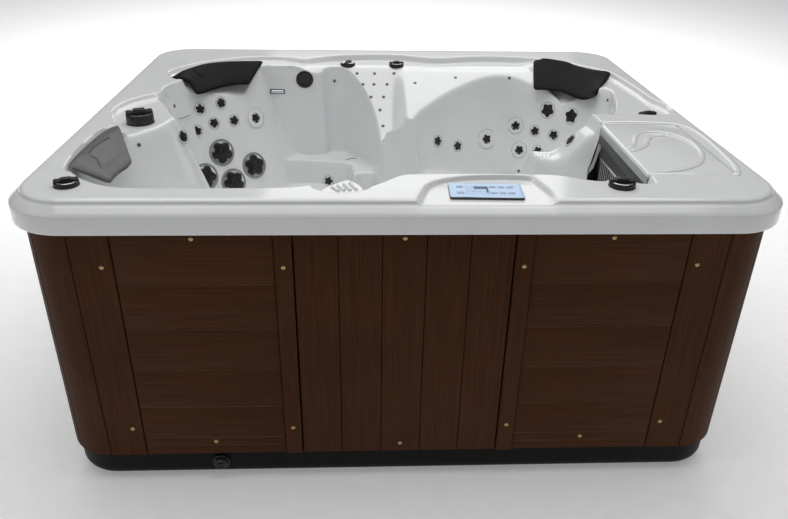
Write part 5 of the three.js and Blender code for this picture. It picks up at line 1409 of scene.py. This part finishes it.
@dataclass(frozen=True)
class Moulding:
    """Fine mouldings on the shell, each drawn along a path in the photograph."""

    name: str
    finish: Finish
    half: float
    height: float
    paths: tuple[tuple[Point, ...], ...]

    def build(self, surface: ShellSurface) -> None:
        """Lays every bead on the shell.

        Args:
            surface: The shell's form.
        """
        work = Workpiece(self.name, TUB, (self.finish,))
        for path in self.paths:
            work.bead([surface.seen(*spot) for spot in path], self.half, self.height)
        work.finish()


MOULDINGS = (
    Moulding("step_ribs", PALETTE.acrylic, 6.0, 6.5,
             tuple(((332.0 + 6 * k, 187.2 - 1.3 * k), (338.5 + 6 * k, 191.6 - 0.5 * k)) for k in range(4))),
    Moulding("armrest_ribs", PALETTE.acrylic, 3.2, 2.2,
             tuple(((535.3 + 3.6 * k, 153.2), (535.0 + 3.6 * k, 157.0)) for k in range(5))),
    Moulding("step_slit", PALETTE.dark_grey, 2.2, 1.4, (((345.5, 160.2), (350.5, 158.4), (356.5, 158.6)),)),
    Moulding("wall_line", PALETTE.line, 1.6, 0.8, (((178.0, 118.8), (184.0, 117.4), (190.5, 114.6)),)),
)


@dataclass(frozen=True)
class SmallJets:
    """The small fixed jets, placed where the photograph shows them."""

    plain: tuple[Point, ...] = (
        (200, 109), (221, 103), (214, 123), (234, 120.5), (197, 131), (183, 136.5), (437.7, 141), (457.6, 146),
        (535, 131), (553.6, 135), (570.7, 140), (328.6, 181), (537.5, 151),
    )
    ringed: tuple[Point, ...] = ((515.7, 125.7), (519.3, 150))
    wide: tuple[Point, ...] = ((255.6, 118), (486.6, 139))

    def build(self, surface: ShellSurface) -> None:
        """Sets every small jet square on the shell.

        Args:
            surface: The shell's form.
        """
        kinds = ((SMALL_JET, self.plain), (WIDE_JET, self.wide), (RINGED_JET, self.ringed))
        spots = [(style, pixel) for style, pixels in kinds for pixel in pixels]
        for number, (style, pixel) in enumerate(spots, 1):
            place = surface.seen(*pixel)
            axis = surface.facing(place.x, place.y, 12.0)
            Jet(style, f"small_jet_{number}", spin=0.4 + 0.37 * number).build(place, axis)


@dataclass(frozen=True)
class Knob:
    """A valve knob: a black fluted drum, a chrome cap and a winged lever."""

    name: str
    radius: float
    height: float
    lever: float
    turn: float
    flutes: int = 20

    def build(self) -> None:
        """Builds the knob and stands it on the rim."""
        work = Workpiece(f"{self.name}_cap", self.name, (PALETTE.black, PALETTE.chrome, PALETTE.soft_black))
        radius, top, turn = self.radius, self.height, math.radians(self.turn)
        collar = min(4.6, top * 0.36)
        work.turned([(0.0, -1.6), (radius * 0.98, -1.6), (radius, 0.4), (radius * 0.985, min(4.0, top * 0.3)),
                     (radius * 0.93, collar), (0.0, collar)], 64, 2)
        drum = ring(self.flutes * 6, lambda angle: radius * (0.945 + 0.02 * math.cos(angle * self.flutes)))
        work.plate(drum, min(3.0, top * 0.2), top, radius * 0.07, 3)
        work.turned([(0.0, top - 0.4), (radius * 0.85, top - 0.4), (radius * 0.86, top + 1.0),
                     (radius * 0.8, top + 1.6), (radius * 0.6, top + 0.5), (0.0, top + 0.2)], 48, 1)
        for side in (0.0, math.pi):
            work.seat((0, 0, 0), UP, side + turn, work.plate(self.wing(), top - 0.2, top + self.lever * 0.62, 2.6, 3))
        long, wide = radius * 0.42, radius * 0.26
        work.seat((0, 0, 0), UP, turn, work.block((-long, -wide, top), (long, wide, top + self.lever), 4.0, 4))
        work.seat(joint_seat(self.name.replace("_knob", "") + "_turn")[0])
        work.finish(self.name)

    def wing(self) -> list[Point]:
        """Returns the outline of one wing of the lever.

        Returns:
            Its corners.
        """
        reach, width = self.radius * 0.93, self.radius * 0.3
        side = [(0.0, -width), (reach * 0.5, -width * 0.8), (reach * 0.86, -width * 1.05), (reach, -width * 0.62)]
        return [*side, (reach * 0.97, 0.0), *((x, -y) for x, y in reversed(side))]


def joint_seat(name: str) -> tuple[Vector, Vector]:
    """Returns the place in millimetres and the axis of a packed joint."""
    joint = next(item for item in frame["joints"] if item["name"] == name)
    return Vector(joint["pos_m"]) / METRES, Vector(joint["axis"]).normalized()


def turning_fittings() -> None:
    """Builds the jets and knobs that turn, each on its own joint."""
    for kind, style, spins in (("big", BIG_JET, (0.2, 0.9, 0.5, 1.3)), ("medium", MEDIUM_JET, (0.35, 0.8))):
        for number, spin in enumerate(spins, 1):
            node = f"{kind}_jet_face_{number}"
            Jet(style, f"{kind}_jet_{number}", node, spin).build(*joint_seat(f"{kind}_jet_{number}_turn"), node)
    for knob in (Knob("diverter_knob_left", 44.0, 33.0, 15.0, 20.0, 26),
                 Knob("diverter_knob_front_left", 32.0, 13.0, 9.5, 20.0),
                 Knob("diverter_knob_front_right", 35.0, 15.0, 11.0, -8.0),
                 Knob("air_knob_back_left", 32.0, 13.0, 9.5, 75.0),
                 Knob("air_knob_back_right", 32.0, 13.0, 9.5, 8.0),
                 Knob("air_knob_right", 32.0, 13.0, 10.0, 12.0)):
        knob.build()


@dataclass(frozen=True)
class NeckJet:
    """The toothed rotary jet at neck height."""

    name: str = "neck_jet_face"
    radius: float = 36.0
    teeth: int = 40

    def build(self) -> None:
        """Builds a fine-toothed disc with a dished face."""
        place, axis = joint_seat("neck_jet_turn")
        work = Workpiece("neck_jet", self.name, (PALETTE.soft_black, PALETTE.black))
        rim = ring(self.teeth * 4, lambda turn: self.radius * (0.985 + 0.015 * math.cos(turn * self.teeth)))
        work.plate(rim, -4.0, 6.5, 1.6)
        work.turned([(0.0, 6.0), (self.radius * 0.84, 6.0), (self.radius * 0.84, 8.4), (self.radius * 0.78, 9.2),
                     (self.radius * 0.7, 8.6), (self.radius * 0.6, 7.6), (self.radius * 0.2, 8.2),
                     (self.radius * 0.16, 10.2), (0.0, 10.8)], 48, 1)
        work.seat(place, axis)
        work.finish(self.name)


# Headrests


@dataclass(frozen=True)
class Crease:
    """A pressed line across a headrest."""

    spots: tuple[Point, ...]
    depth: float = 3.0
    width: float = 4.5


@dataclass(frozen=True)
class Headrest:
    """A moulded foam headrest, swept between its upper and lower edges."""

    name: str
    finish: Finish
    top: tuple[Triple, ...]
    bottom: tuple[Triple, ...]
    panel: tuple[float, float, float, float] | None = None
    creases: tuple[Crease, ...] = ()
    taper: Point = (0.05, 0.05)
    rounding: float = 0.08
    crown: float = 9.0
    thickness: float = 17.0
    along: int = 150
    across: int = 84
    proud: Point = (0.35, 1.0)
    softening: int = 300

    @staticmethod
    def curve(spots: Sequence[Sequence[float]], count: int) -> Grid:
        """Returns places on a line through the spots, with softened corners.

        Args:
            spots: Places in thousandths of the half sizes and the height.
            count: Number of places on the line.

        Returns:
            The places in millimetres.
        """
        points = np.array(spots) / THOUSANDTHS * (HALF_WIDTH, HALF_DEPTH, RIM_HEIGHT)
        marks = np.linspace(0, len(spots) - 1, count)
        line = np.stack([np.interp(marks, range(len(spots)), points[:, k]) for k in range(3)], -1)
        for _ in range(count):
            line[1:-1] = (line[:-2] + 2 * line[1:-1] + line[2:]) / 4
        return line

    def relief(self, along: Grid, across: Grid, length: float, width: float) -> Grid:
        """Returns how far the front stands out of the line between the edges.

        Args:
            along: Shares of the length.
            across: Shares of the width.
            length: Length in millimetres.
            width: Width in millimetres.

        Returns:
            The relief in millimetres.
        """
        relief = self.crown * np.sqrt(np.clip(1 - np.abs(2 * across - 1) ** 7, 0, 1)) + np.zeros(along.shape)
        if self.panel:
            middle, high, half_long, half_wide = self.panel
            reach = np.maximum(np.abs(along - middle) / half_long, np.abs(across - high) / half_wide)
            relief += 2.6 * (1 - step(0.7, 1.2, reach))
        for crease in self.creases:
            gap = self.gap(crease, along * length, across * width, length, width)
            relief -= crease.depth * np.exp(-(gap / crease.width) ** 2)
        return relief

    @staticmethod
    def gap(crease: Crease, x: Grid, y: Grid, length: float, width: float) -> Grid:
        """Returns the distance from places in millimetres to a crease.

        Args:
            crease: The crease.
            x: Places along the headrest.
            y: Places across it.
            length: Length of the headrest.
            width: Width of the headrest.

        Returns:
            The distances in millimetres.
        """
        nearest = np.full(np.broadcast(x, y).shape, np.inf)
        spots = np.array(crease.spots) * (length, width)
        for start, end in zip(spots, spots[1:]):
            way = end - start
            share = np.clip(((x - start[0]) * way[0] + (y - start[1]) * way[1]) / way.dot(way), 0, 1)
            nearest = np.minimum(nearest, np.hypot(x - start[0] - share * way[0], y - start[1] - share * way[1]))
        return nearest

    def build(self, surface: ShellSurface) -> None:
        """Sweeps the headrest over the shell and closes its ends.

        Args:
            surface: The shell's form, which the front never sinks into.
        """
        share = np.linspace(0.0, 1.0, self.along + 1)
        top, bottom = self.curve(self.top, len(share)), self.curve(self.bottom, len(share))
        span = bottom - top
        width = np.linalg.norm(span, axis=1, keepdims=True)
        way = np.gradient(top, axis=0)
        lift = np.cross(span, way)
        lift /= np.linalg.norm(lift, axis=1, keepdims=True)
        lift *= np.where(lift[:, 2:3] < 0, -1.0, 1.0)
        ends = np.sqrt(np.clip(1 - np.clip(1 - share / self.taper[0], 0, 1) ** 2, 0, 1)
                       * np.clip(1 - np.clip(1 - (1 - share) / self.taper[1], 0, 1) ** 2, 0, 1))[:, None]
        ends *= np.sqrt(np.clip(width / 80.0, 0, 1))
        length = float(np.linalg.norm(np.diff(top, axis=0), axis=1).sum())
        front = np.linspace(0.0, 1.0, self.across + 1)
        rise = self.relief(share[:, None], front[None, :], length, float(width.mean()))
        back = np.linspace(1.0, 0.0, 12)[1:-1]
        sink = -(self.thickness - self.crown) * np.sqrt(np.clip(1 - np.abs(2 * back - 1) ** 4, 0, 1))
        across = np.concatenate([front, back])
        depth = np.concatenate([rise, np.repeat(sink[None, :], len(share), 0)], 1) * ends
        squeeze = 0.5 + (across[None, :, None] - 0.5) * (1 - self.rounding * (1 - ends[:, :, None]))
        rings = top[:, None, :] + span[:, None, :] * squeeze + lift[:, None, :] * depth[:, :, None]
        rings[..., 2] += self.clearance(rings, depth, surface)
        work = Workpiece(f"{self.name}_pad", TUB, (self.finish,))
        work.wrapped(rings)
        pad = work.finish(crease=70.0)
        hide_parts(self.name)

    def clearance(self, rings: Grid, depth: Grid, surface: ShellSurface) -> Grid:
        """Returns how far each place is raised so that the front clears the shell.

        Args:
            rings: Places round the foam, ring by ring.
            depth: How far each place stands out of its ring's chord.
            surface: The shell's form.

        Returns:
            The raise in millimetres, softened towards the places that need none.
        """
        under = surface.height(rings[..., 0], rings[..., 1])
        back, most = -4.0, 40.0
        stand = np.where(np.arange(depth.shape[1]) <= self.across, self.proud[0] * depth + self.proud[1], back)
        need = np.clip(under + stand - rings[..., 2], 0.0, most)
        raised = need
        for _ in range(self.softening):
            level = np.concatenate([raised[:1], raised, raised[-1:]])
            level = (level[:-2] + level[2:] + np.roll(raised, 1, 1) + np.roll(raised, -1, 1)) / 4
            raised = np.maximum(need, level)
        return raised


HEADRESTS = (
    Headrest("headrest_back_left", PALETTE.dark_foam,
             ((-829, 387, 996), (-808, 491, 997), (-781, 568, 997), (-751, 638, 997), (-691, 695, 994),
              (-625, 721, 992), (-518, 741, 989)),
             ((-832, 401, 992), (-782, 392, 987), (-761, 410, 964), (-742, 354, 924), (-695, 451, 927),
              (-639, 529, 929), (-559, 544, 931)),
             None, (Crease(((0.333, 0.2), (0.4, 0.36), (0.45, 0.42), (0.52, 0.5)), 3.6, 2.6),), (0.02, 0.03)),
    Headrest("headrest_back_right", PALETTE.dark_foam,
             ((634, 789, 992), (684, 791, 992), (748, 740, 992), (819, 640, 992), (897, 497, 992)),
             ((592, 522, 918), (652, 523, 916), (707, 494, 913), (744, 400, 912), (786, 310, 913)),
             None, (), (0.06, 0.05), 0.18),
    Headrest("headrest_front_left", PALETTE.light_foam,
             ((-896, -689, 994), (-898, -615, 996), (-897, -538, 997), (-892, -406, 997), (-879, -325, 997),
              (-854, -303, 996)),
             ((-797, -664, 929), (-799, -629, 929), (-798, -601, 929), (-792, -560, 928), (-784, -526, 928),
              (-782, -479, 929)),
             (0.62, 0.42, 0.34, 0.3),
             (Crease(((0.7, 0.24), (0.45, 0.17), (0.34, 0.19), (0.32, 0.28), (0.35, 0.4), (0.3, 0.52), (0.24, 0.64)),
                     3.6, 3.0),), (0.1, 0.05)),
)


# Control panel


@dataclass(frozen=True)
class ControlPanel:
    """The keypad: a film-faced body with pockets, a display and eight keys that press in."""

    size: Triple = (188.0, 94.0, 10.0)
    place: Triple = (208.0, -760.38, 883.3)
    turn: float = -2.0
    corner: float = 7.0
    columns: tuple[float, ...] = (-65.8, 18.8, 41.36, 63.92)
    rows: tuple[float, ...] = (19.74, -18.8)
    key: Triple = (17.0, 13.0, 4.0)
    proud: float = 0.8
    pocket: float = 4.2
    gap: float = 0.35

    def build(self) -> None:
        """Builds the body, the display and the keys."""
        work = Workpiece("keypad", TUB, (PALETTE.film, PALETTE.chrome, PALETTE.display, PALETTE.mark,
                                         PALETTE.dark_grey))
        self.body(work)
        top = self.size[2]
        for size, spot, low, high, bevel, number in (
                ((62.0, 58.0, 3.0), (-22.0, 1.0), -0.2, 0.25, 0.2, 2),
                ((36.0, 17.0, 1.5), (-12.0, 14.0), 0.0, 0.4, 0.15, 3),
                ((5.0, 30.0, 1.0), (3.5, -5.0), 0.0, 0.4, 0.15, 3)):
            outline = [(x + spot[0], y + spot[1]) for x, y in rounded(*size)]
            work.plate(outline, top + low, top + high, bevel, 1, number)
        for index, width in enumerate((9.0, 15.0, 11.0, 7.0)):
            left, front = -48.0 + 10 * index, -9.0 - 3.4 * (index % 2)
            work.block((left, front, top), (left + width * 0.5, front + 1.4, top + 0.42), number=3)
        work.seat(self.place, UP, math.radians(self.turn))
        work.finish("control_panel", crease=30.0)
        for number, (column, row) in enumerate(((c, r) for c in self.columns for r in self.rows), 1):
            self.press_key(number, column, row)

    def body(self, work: Workpiece) -> None:
        """Builds the body from a grid of cells and sinks the key pockets.

        Args:
            work: The keypad's workpiece.
        """
        half = (self.size[0] / 2, self.size[1] / 2)
        top = self.size[2]
        cuts = [sorted([-side, side] + [spot + way * (key / 2 + self.gap) for spot in spots for way in (-1, 1)])
                for side, spots, key in zip(half, (self.columns, self.rows), self.key)]
        fresh = bmesh.new()
        counts = [len(line) - 1 for line in cuts]
        bmesh.ops.create_grid(fresh, x_segments=counts[0], y_segments=counts[1], size=0.5)
        for vertex in fresh.verts:
            vertex.co = (*(cuts[k][round((vertex.co[k] + 0.5) * counts[k])] for k in range(2)), 0.0)
        raised = bmesh.ops.extrude_face_region(fresh, geom=list(fresh.faces))["geom"]
        bmesh.ops.translate(fresh, verts=[item for item in raised if isinstance(item, bmesh.types.BMVert)],
                            vec=(0, 0, top))
        bmesh.ops.recalc_face_normals(fresh, faces=fresh.faces)
        for cell in [item for item in fresh.faces if item.normal.z > 0.9 and self.over_key(item)]:
            sunk = bmesh.ops.extrude_discrete_faces(fresh, faces=[cell])["faces"]
            bmesh.ops.translate(fresh, verts=sunk[0].verts, vec=(0, 0, -self.pocket))
            work.paint(sunk, 4)
        bmesh.ops.recalc_face_normals(fresh, faces=fresh.faces)
        corners = [edge for edge in fresh.edges
                   if all(abs(abs(vert.co[k]) - half[k]) < 0.01 for vert in edge.verts for k in range(2))]
        soften(fresh, corners, self.corner, 6)
        rim = [edge for edge in fresh.edges if len(edge.link_faces) == 2
               and all(abs(vert.co.z - top) < 0.01 for vert in edge.verts)
               and sorted(round(item.normal.z) for item in edge.link_faces) == [0, 1]
               and not any(self.over_key(item) for item in edge.link_faces)]
        soften(fresh, rim, 1.8, 3)
        for item in fresh.faces:
            if abs(item.normal.z) < 0.8 and not self.over_key(item):
                item.material_index = 1 if abs(item.normal.z) > 0.1 else 4
        work.take_in(fresh, None, False)

    def over_key(self, cell: bmesh.types.BMFace) -> bool:
        """Tells whether a face lies over a key.

        Args:
            cell: A face of the body.

        Returns:
            Whether it lies over a key.
        """
        spot = cell.calc_center_median()
        return all(any(abs(spot[k] - line) < self.key[k] / 2 + self.gap + 0.01 for line in lines)
                   for k, lines in enumerate((self.columns, self.rows)))

    def press_key(self, number: int, column: float, row: float) -> None:
        """Builds one key with a generic mark on its own body.

        Args:
            number: The key's number.
            column: Its place across.
            row: Its place in depth.
        """
        name = f"panel_key_{number}"
        work = Workpiece(f"{name}_cap", name, (PALETTE.key, PALETTE.mark))
        width, depth, height = self.key
        high = self.size[2] + self.proud
        work.block((column - width / 2, row - depth / 2, high - height), (column + width / 2, row + depth / 2, high),
                   0.9, 3)
        for long, wide in ((3.0, 0.7), (0.7, 3.0))[:1 + number % 2]:
            work.block((column - long, row - wide, high - 0.3), (column + long, row + wide, high + 0.12), number=1)
        work.seat(self.place, UP, math.radians(self.turn))
        work.finish(name)


# Filter compartment


@dataclass(frozen=True)
class FilterLid:
    """The lift-off lid over the filter: a white slab with an embossed line and a skirt."""

    low: Triple = (659.0, -668.5, 884.0)
    high: Triple = (903.5, -231.5, 900.6)
    foot: float = 838.5
    seam: float = 868.0
    bevel: float = 8.0
    ridge: tuple[Point, ...] = ((667, -470), (686, -452), (705, -421), (722, -370), (744, -328), (782, -308),
                                (822, -312), (856, -333), (878, -378), (885, -426), (880, -486), (861, -540),
                                (836, -585), (808, -613), (770, -635), (736, -646), (684, -650))
    second: tuple[Point, ...] = ((672, -491), (699, -470), (727, -448), (747, -407), (763, -370), (785, -353),
                                 (824, -350))
    surround: tuple[Point, ...] = ((662, -212), (760, -205), (860, -213), (920, -236), (942, -290), (945, -402),
                                   (934, -560), (920, -642), (896, -680))

    def build(self) -> None:
        """Builds the slab, the skirt and the embossing."""
        work = Workpiece("filter_cover", "filter_lid", (PALETTE.acrylic, PALETTE.lid_side_shade_and_fin_grey, PALETTE.dark_grey))
        work.block(self.low, self.high, self.bevel, 5)
        (left, front, low), back = self.low, self.high[1] - 1
        # The skirt's upper band, on the side face of the white lid, is painted grey as painted shade.
        work.block((left - 0.5, front + 1, self.seam), (left + 2.9, back, low + 6), 0.8, 2, 1)
        work.block((left, front + 1, self.foot), (left + 3.2, back, self.seam), 0.8, 2, 2)
        for curve in (self.ridge, self.second):
            work.bead([(x, y, self.high[2] - 0.6) for x, y in curve], 9.0, 5.4)
        work.finish("filter_lid")
        bead = Workpiece("lid_surround")
        bead.bead([(x, y, RIM_HEIGHT - 0.8) for x, y in self.surround], 10.0, 5.6)
        bead.finish()


@dataclass(frozen=True)
class SkimmerFront:
    """The skimmer's face: a fine mesh band, a bright trim strip and upright fins."""

    x: Point = (662.0, 674.0)
    y: Point = (-643.0, -257.0)
    z: Point = (650.5, 837.5)
    band: float = 44.0
    cells: tuple[int, int] = (92, 10)
    fins: int = 22
    fin: float = 4.2

    def build(self) -> None:
        """Builds the frame, the fins, the mesh band and the strip."""
        work = Workpiece("skimmer_fins", TUB, (PALETTE.dark_grey, PALETTE.chrome, PALETTE.lid_side_shade_and_fin_grey))
        (front, back), (start, end), (foot, head) = self.x, self.y, self.z
        edge = head - self.band
        for left, right, low, high in ((start, start + 6, foot, head), (end - 6, end, foot, head),
                                       (start, end, foot, foot + 7), (start, end, head - 5, head)):
            work.block((front + 4, left, low), (back, right, high), 1.2)
        work.block((front + 2, start + 1, edge - 5), (back, end - 1, edge + 4), 2.0, 3, 1)
        pitch = (end - start - 12) / self.fins
        for index in range(self.fins):
            middle = start + 6 + (index + 0.5) * pitch
            work.block((front + 3.4, middle - self.fin / 2, foot + 5), (front + 5.2, middle + self.fin / 2, edge - 3),
                       0.5, 2, 2)
        self.mesh_band(work, start + 5, end - 5, edge + 3, head - 4)
        work.finish("skimmer_grille")

    def mesh_band(self, work: Workpiece, start: float, end: float, low: float, high: float) -> None:
        """Opens a grid of cells into a fine mesh and gives it thickness.

        Args:
            work: The skimmer's workpiece.
            start: Depth where it starts.
            end: Depth where it ends.
            low: Height of its foot.
            high: Height of its head.
        """
        fresh = bmesh.new()
        bmesh.ops.create_grid(fresh, x_segments=self.cells[0], y_segments=self.cells[1], size=0.5)
        bmesh.ops.scale(fresh, vec=(end - start, high - low, 1), verts=fresh.verts)
        cells = list(fresh.faces)
        bmesh.ops.inset_individual(fresh, faces=cells, thickness=1.0, use_even_offset=True)
        bmesh.ops.delete(fresh, geom=cells, context="FACES")
        bmesh.ops.solidify(fresh, geom=list(fresh.faces), thickness=1.6)
        turn = Matrix(((0, 0, 1), (1, 0, 0), (0, 1, 0))).to_4x4()
        spot = Matrix.Translation((self.x[0] + 6, (start + end) / 2, (low + high) / 2))
        bmesh.ops.transform(fresh, matrix=spot @ turn, verts=fresh.verts)
        work.take_in(fresh)


# Water fittings and the plain solids


@dataclass(frozen=True)
class Grate:
    """A round domed grate with slots between radial ribs."""

    node: str
    radius: float
    height: float
    ribs: int

    def build(self, place: Sequence[float], axis: Vector) -> None:
        """Builds the grate and seats it.

        Args:
            place: Middle of its foot in millimetres.
            axis: The way that it faces.
        """
        work = Workpiece(f"{self.node}_cover", TUB, (PALETTE.grey, PALETTE.dark_grey, PALETTE.chrome))
        radius, height = self.radius, self.height
        work.turned([(0.0, -3.0), (radius - 1, -3.0), (radius, -1.5), (radius, height * 0.35),
                     (radius * 0.95, height * 0.6), (radius * 0.84, height * 0.62), (radius * 0.82, 0.6),
                     (0.0, 0.6)], 56)
        work.turned([(0.0, 0.5), (radius * 0.83, 0.5), (radius * 0.83, 0.9), (0.0, 0.9)], 40, 1)
        work.turned([(0.0, 0.5), (radius * 0.26, 0.5), (radius * 0.26, height * 0.86), (radius * 0.2, height),
                     (0.0, height)], 32)
        work.turned([(0.0, height - 0.2), (4.4, height - 0.2), (4.0, height + 1.4), (2.2, height + 1.8),
                     (1.8, height + 0.8), (0.0, height + 0.8)], 20, 2)
        for index in range(self.ribs):
            rib = work.block((radius * 0.2, -1.4, 0.5), (radius * 0.86, 1.4, height * 0.72), 0.8)
            work.seat((0, 0, 0), UP, index / self.ribs * math.tau, rib)
        work.seat(place, axis)
        work.finish(self.node)


def water_fittings() -> None:
    """Builds the suction covers, the floor drain, the drain cap and the cable gland."""
    Grate("suction_fitting_1", 51.0, 9.6, 24).build((-169.76, -355.19, 209.4), Vector((0.1837, 0.9632, 0.1961)))
    Grate("suction_fitting_2", 51.0, 9.6, 24).build((209.67, -359.49, 209.4), Vector((-0.2007, 0.9598, 0.1961)))
    Grate("footwell_drain_grate", 35.0, 4.8, 16).build((-20.0, -121.8, 111.3), UP)
    cap = Workpiece("drain_plug", "drain_cap", (PALETTE.soft_black, PALETTE.black))
    cap.turned([(0.0, -6.0), (22.0, -6.0), (25.0, 0.3), (25.6, 3.0), (25.0, 6.0), (19.5, 7.0), (19.0, 15.0),
                (17.4, 17.0), (12.0, 17.6), (10.4, 15.0), (0.0, 14.6)], 48)
    cap.block((-16.0, -3.0, 13.0), (16.0, 3.0, 17.9), 1.4, 3, 1)
    for index in range(8):
        lug = cap.block((17.5, -2.2, 7.0), (20.6, 2.2, 15.4), 1.0, 2, 1)
        cap.seat((0, 0, 0), UP, index / 8 * math.tau, lug)
    cap.seat((-524.0, -832.0, 62.0), FRONT)
    cap.finish("drain_cap")
    gland = Workpiece("cable_gland", TUB, (PALETTE.soft_black, PALETTE.black))
    gland.plate(ring(6, lambda turn: 16.6), 0.2, 6.5, 1.2)
    gland.turned([(0.0, -8.0), (10.4, -8.0), (10.8, 6.0), (13.2, 6.0), (13.6, 7.0), (12.0, 10.8), (8.6, 11.8),
                  (6.2, 11.4), (5.8, 5.0), (0.0, 5.0)], 40, 1)
    gland.seat((700.0, 832.0, 62.0), Vector((0, 1, 0)))
    gland.finish("supply_cable_gland")


@dataclass(frozen=True)
class WaterfallSpout:
    """The waterfall's spout: a chrome bar in a dark surround, set in the back wall."""

    pixel: Point = (277.6, 91.5)
    surround: Point = (31.0, 9.5)
    bar: Point = (28.5, 6.8)
    depth: Point = (8.0, 22.0)

    def build(self, surface: ShellSurface) -> None:
        """Sets the spout in the wall where the photograph shows it.

        Args:
            surface: The shell's form.
        """
        spot = surface.seen(*self.pixel)
        out, into = self.depth
        work = Workpiece("waterfall_bar", TUB, (PALETTE.chrome, PALETTE.dark_grey))
        for (wide, high), front, bevel, number in ((self.surround, out - 4, 2.4, 1), (self.bar, out, 6.6, 0)):
            work.block(spot - Vector((wide, front, high)), spot + Vector((wide, into, high)), bevel, 4, number)
        work.finish("waterfall_spout")


SOLID_FINISHES = {
    "support_frame": PALETTE.timber, "filter_housing": PALETTE.soft_black, "skimmer_weir": PALETTE.black,
    "filter_cartridge": PALETTE.paper, "jet_pump_1": PALETTE.soft_black, "jet_pump_2": PALETTE.soft_black,
    "heater_tube": PALETTE.chrome, "control_box": PALETTE.grey, "air_blower": PALETTE.soft_black,
}


def dress_solids() -> None:
    """Gives every solid that is shown as packed its own finish."""
    for name, finish in SOLID_FINISHES.items():
        mesh = frame["nodes"][name].data
        for index in range(len(mesh.materials)):
            mesh.materials[index] = finish.material()
        LOG.info("%s: kept as packed, in %s", name, finish.name)


# Studio


@dataclass(frozen=True)
class Studio:
    """A pale floor and plain soft light."""

    floor_size: float = 24.0
    floor_glow: float = 0.22
    air_glow: float = 0.18
    lights: tuple[tuple[str, Triple, Triple, float, float], ...] = (
        ("top_softbox", (0.0, 0.6, 4.6), (0.0, 0.1, 0.5), 5.4, 150.0),
        ("left_softbox", (-3.8, -1.4, 3.0), (0.0, 0.0, 0.5), 2.4, 7.0),
        ("right_softbox", (3.8, -1.0, 3.0), (0.0, 0.0, 0.5), 2.4, 4.0),
        ("back_softbox", (0.4, 4.2, 3.2), (0.0, 0.2, 0.6), 3.0, 36.0),
        ("far_softbox", (0.0, 4.4, 5.0), (0.0, 9.4, 0.2), 6.0, 420.0),
    )

    def build(self) -> None:
        """Makes the floor, the world and the lights."""
        mesh = bpy.data.meshes.new("studio_floor")
        floor = bmesh.new()
        bmesh.ops.create_grid(floor, x_segments=2, y_segments=2, size=self.floor_size / 2)
        floor.to_mesh(mesh)
        floor.free()
        paint = Finish("studio_floor", "", (0.93, 0.93, 0.93), 0.6).material()
        paint.node_tree.nodes["Principled BSDF"].inputs["Emission Strength"].default_value = self.floor_glow
        mesh.materials.append(paint)
        stage = bpy.data.objects.new("studio_floor", mesh)
        bpy.context.scene.collection.objects.link(stage)
        world = bpy.data.worlds.new("studio_air")
        world.use_nodes = True
        air = world.node_tree.nodes["Background"]
        air.inputs["Color"].default_value = (1.0, 1.0, 1.0, 1.0)
        air.inputs["Strength"].default_value = self.air_glow
        bpy.context.scene.world = world
        for name, place, aim, size, power in self.lights:
            self.softbox(name, Vector(place), Vector(aim), size, power)
        bpy.context.scene.view_settings.view_transform = "Standard"

    @staticmethod
    def softbox(name: str, place: Vector, aim: Vector, size: float, power: float) -> None:
        """Hangs one square soft light.

        Args:
            name: The light's name.
            place: Its place in metres.
            aim: What it faces.
            size: Its side in metres.
            power: Its power in watts.
        """
        data = bpy.data.lights.new(name, "AREA")
        data.shape = "SQUARE"
        data.size = size
        data.energy = power
        light = bpy.data.objects.new(name, data)
        light.location = place
        light.rotation_euler = (aim - place).to_track_quat("-Z", "Y").to_euler()
        bpy.context.scene.collection.objects.link(light)


def main() -> None:
    """Builds the tub piece by piece."""
    logging.basicConfig(level=logging.INFO, format="%(name)s %(message)s")
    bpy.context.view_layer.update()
    camera = PhotoCamera()
    camera.build()
    Studio().build()
    surface = ShellSurface(camera)
    TubShell(surface).build()
    Cabinet().build()
    BasePan().build()
    turning_fittings()
    NeckJet().build()
    for fitting in (SmallJets(), Lights(), *MOULDINGS, *HEADRESTS):
        fitting.build(surface)
    ControlPanel().build()
    FilterLid().build()
    SkimmerFront().build()
    water_fittings()
    WaterfallSpout().build(surface)
    dress_solids()


if __name__ == "__main__":
    main()
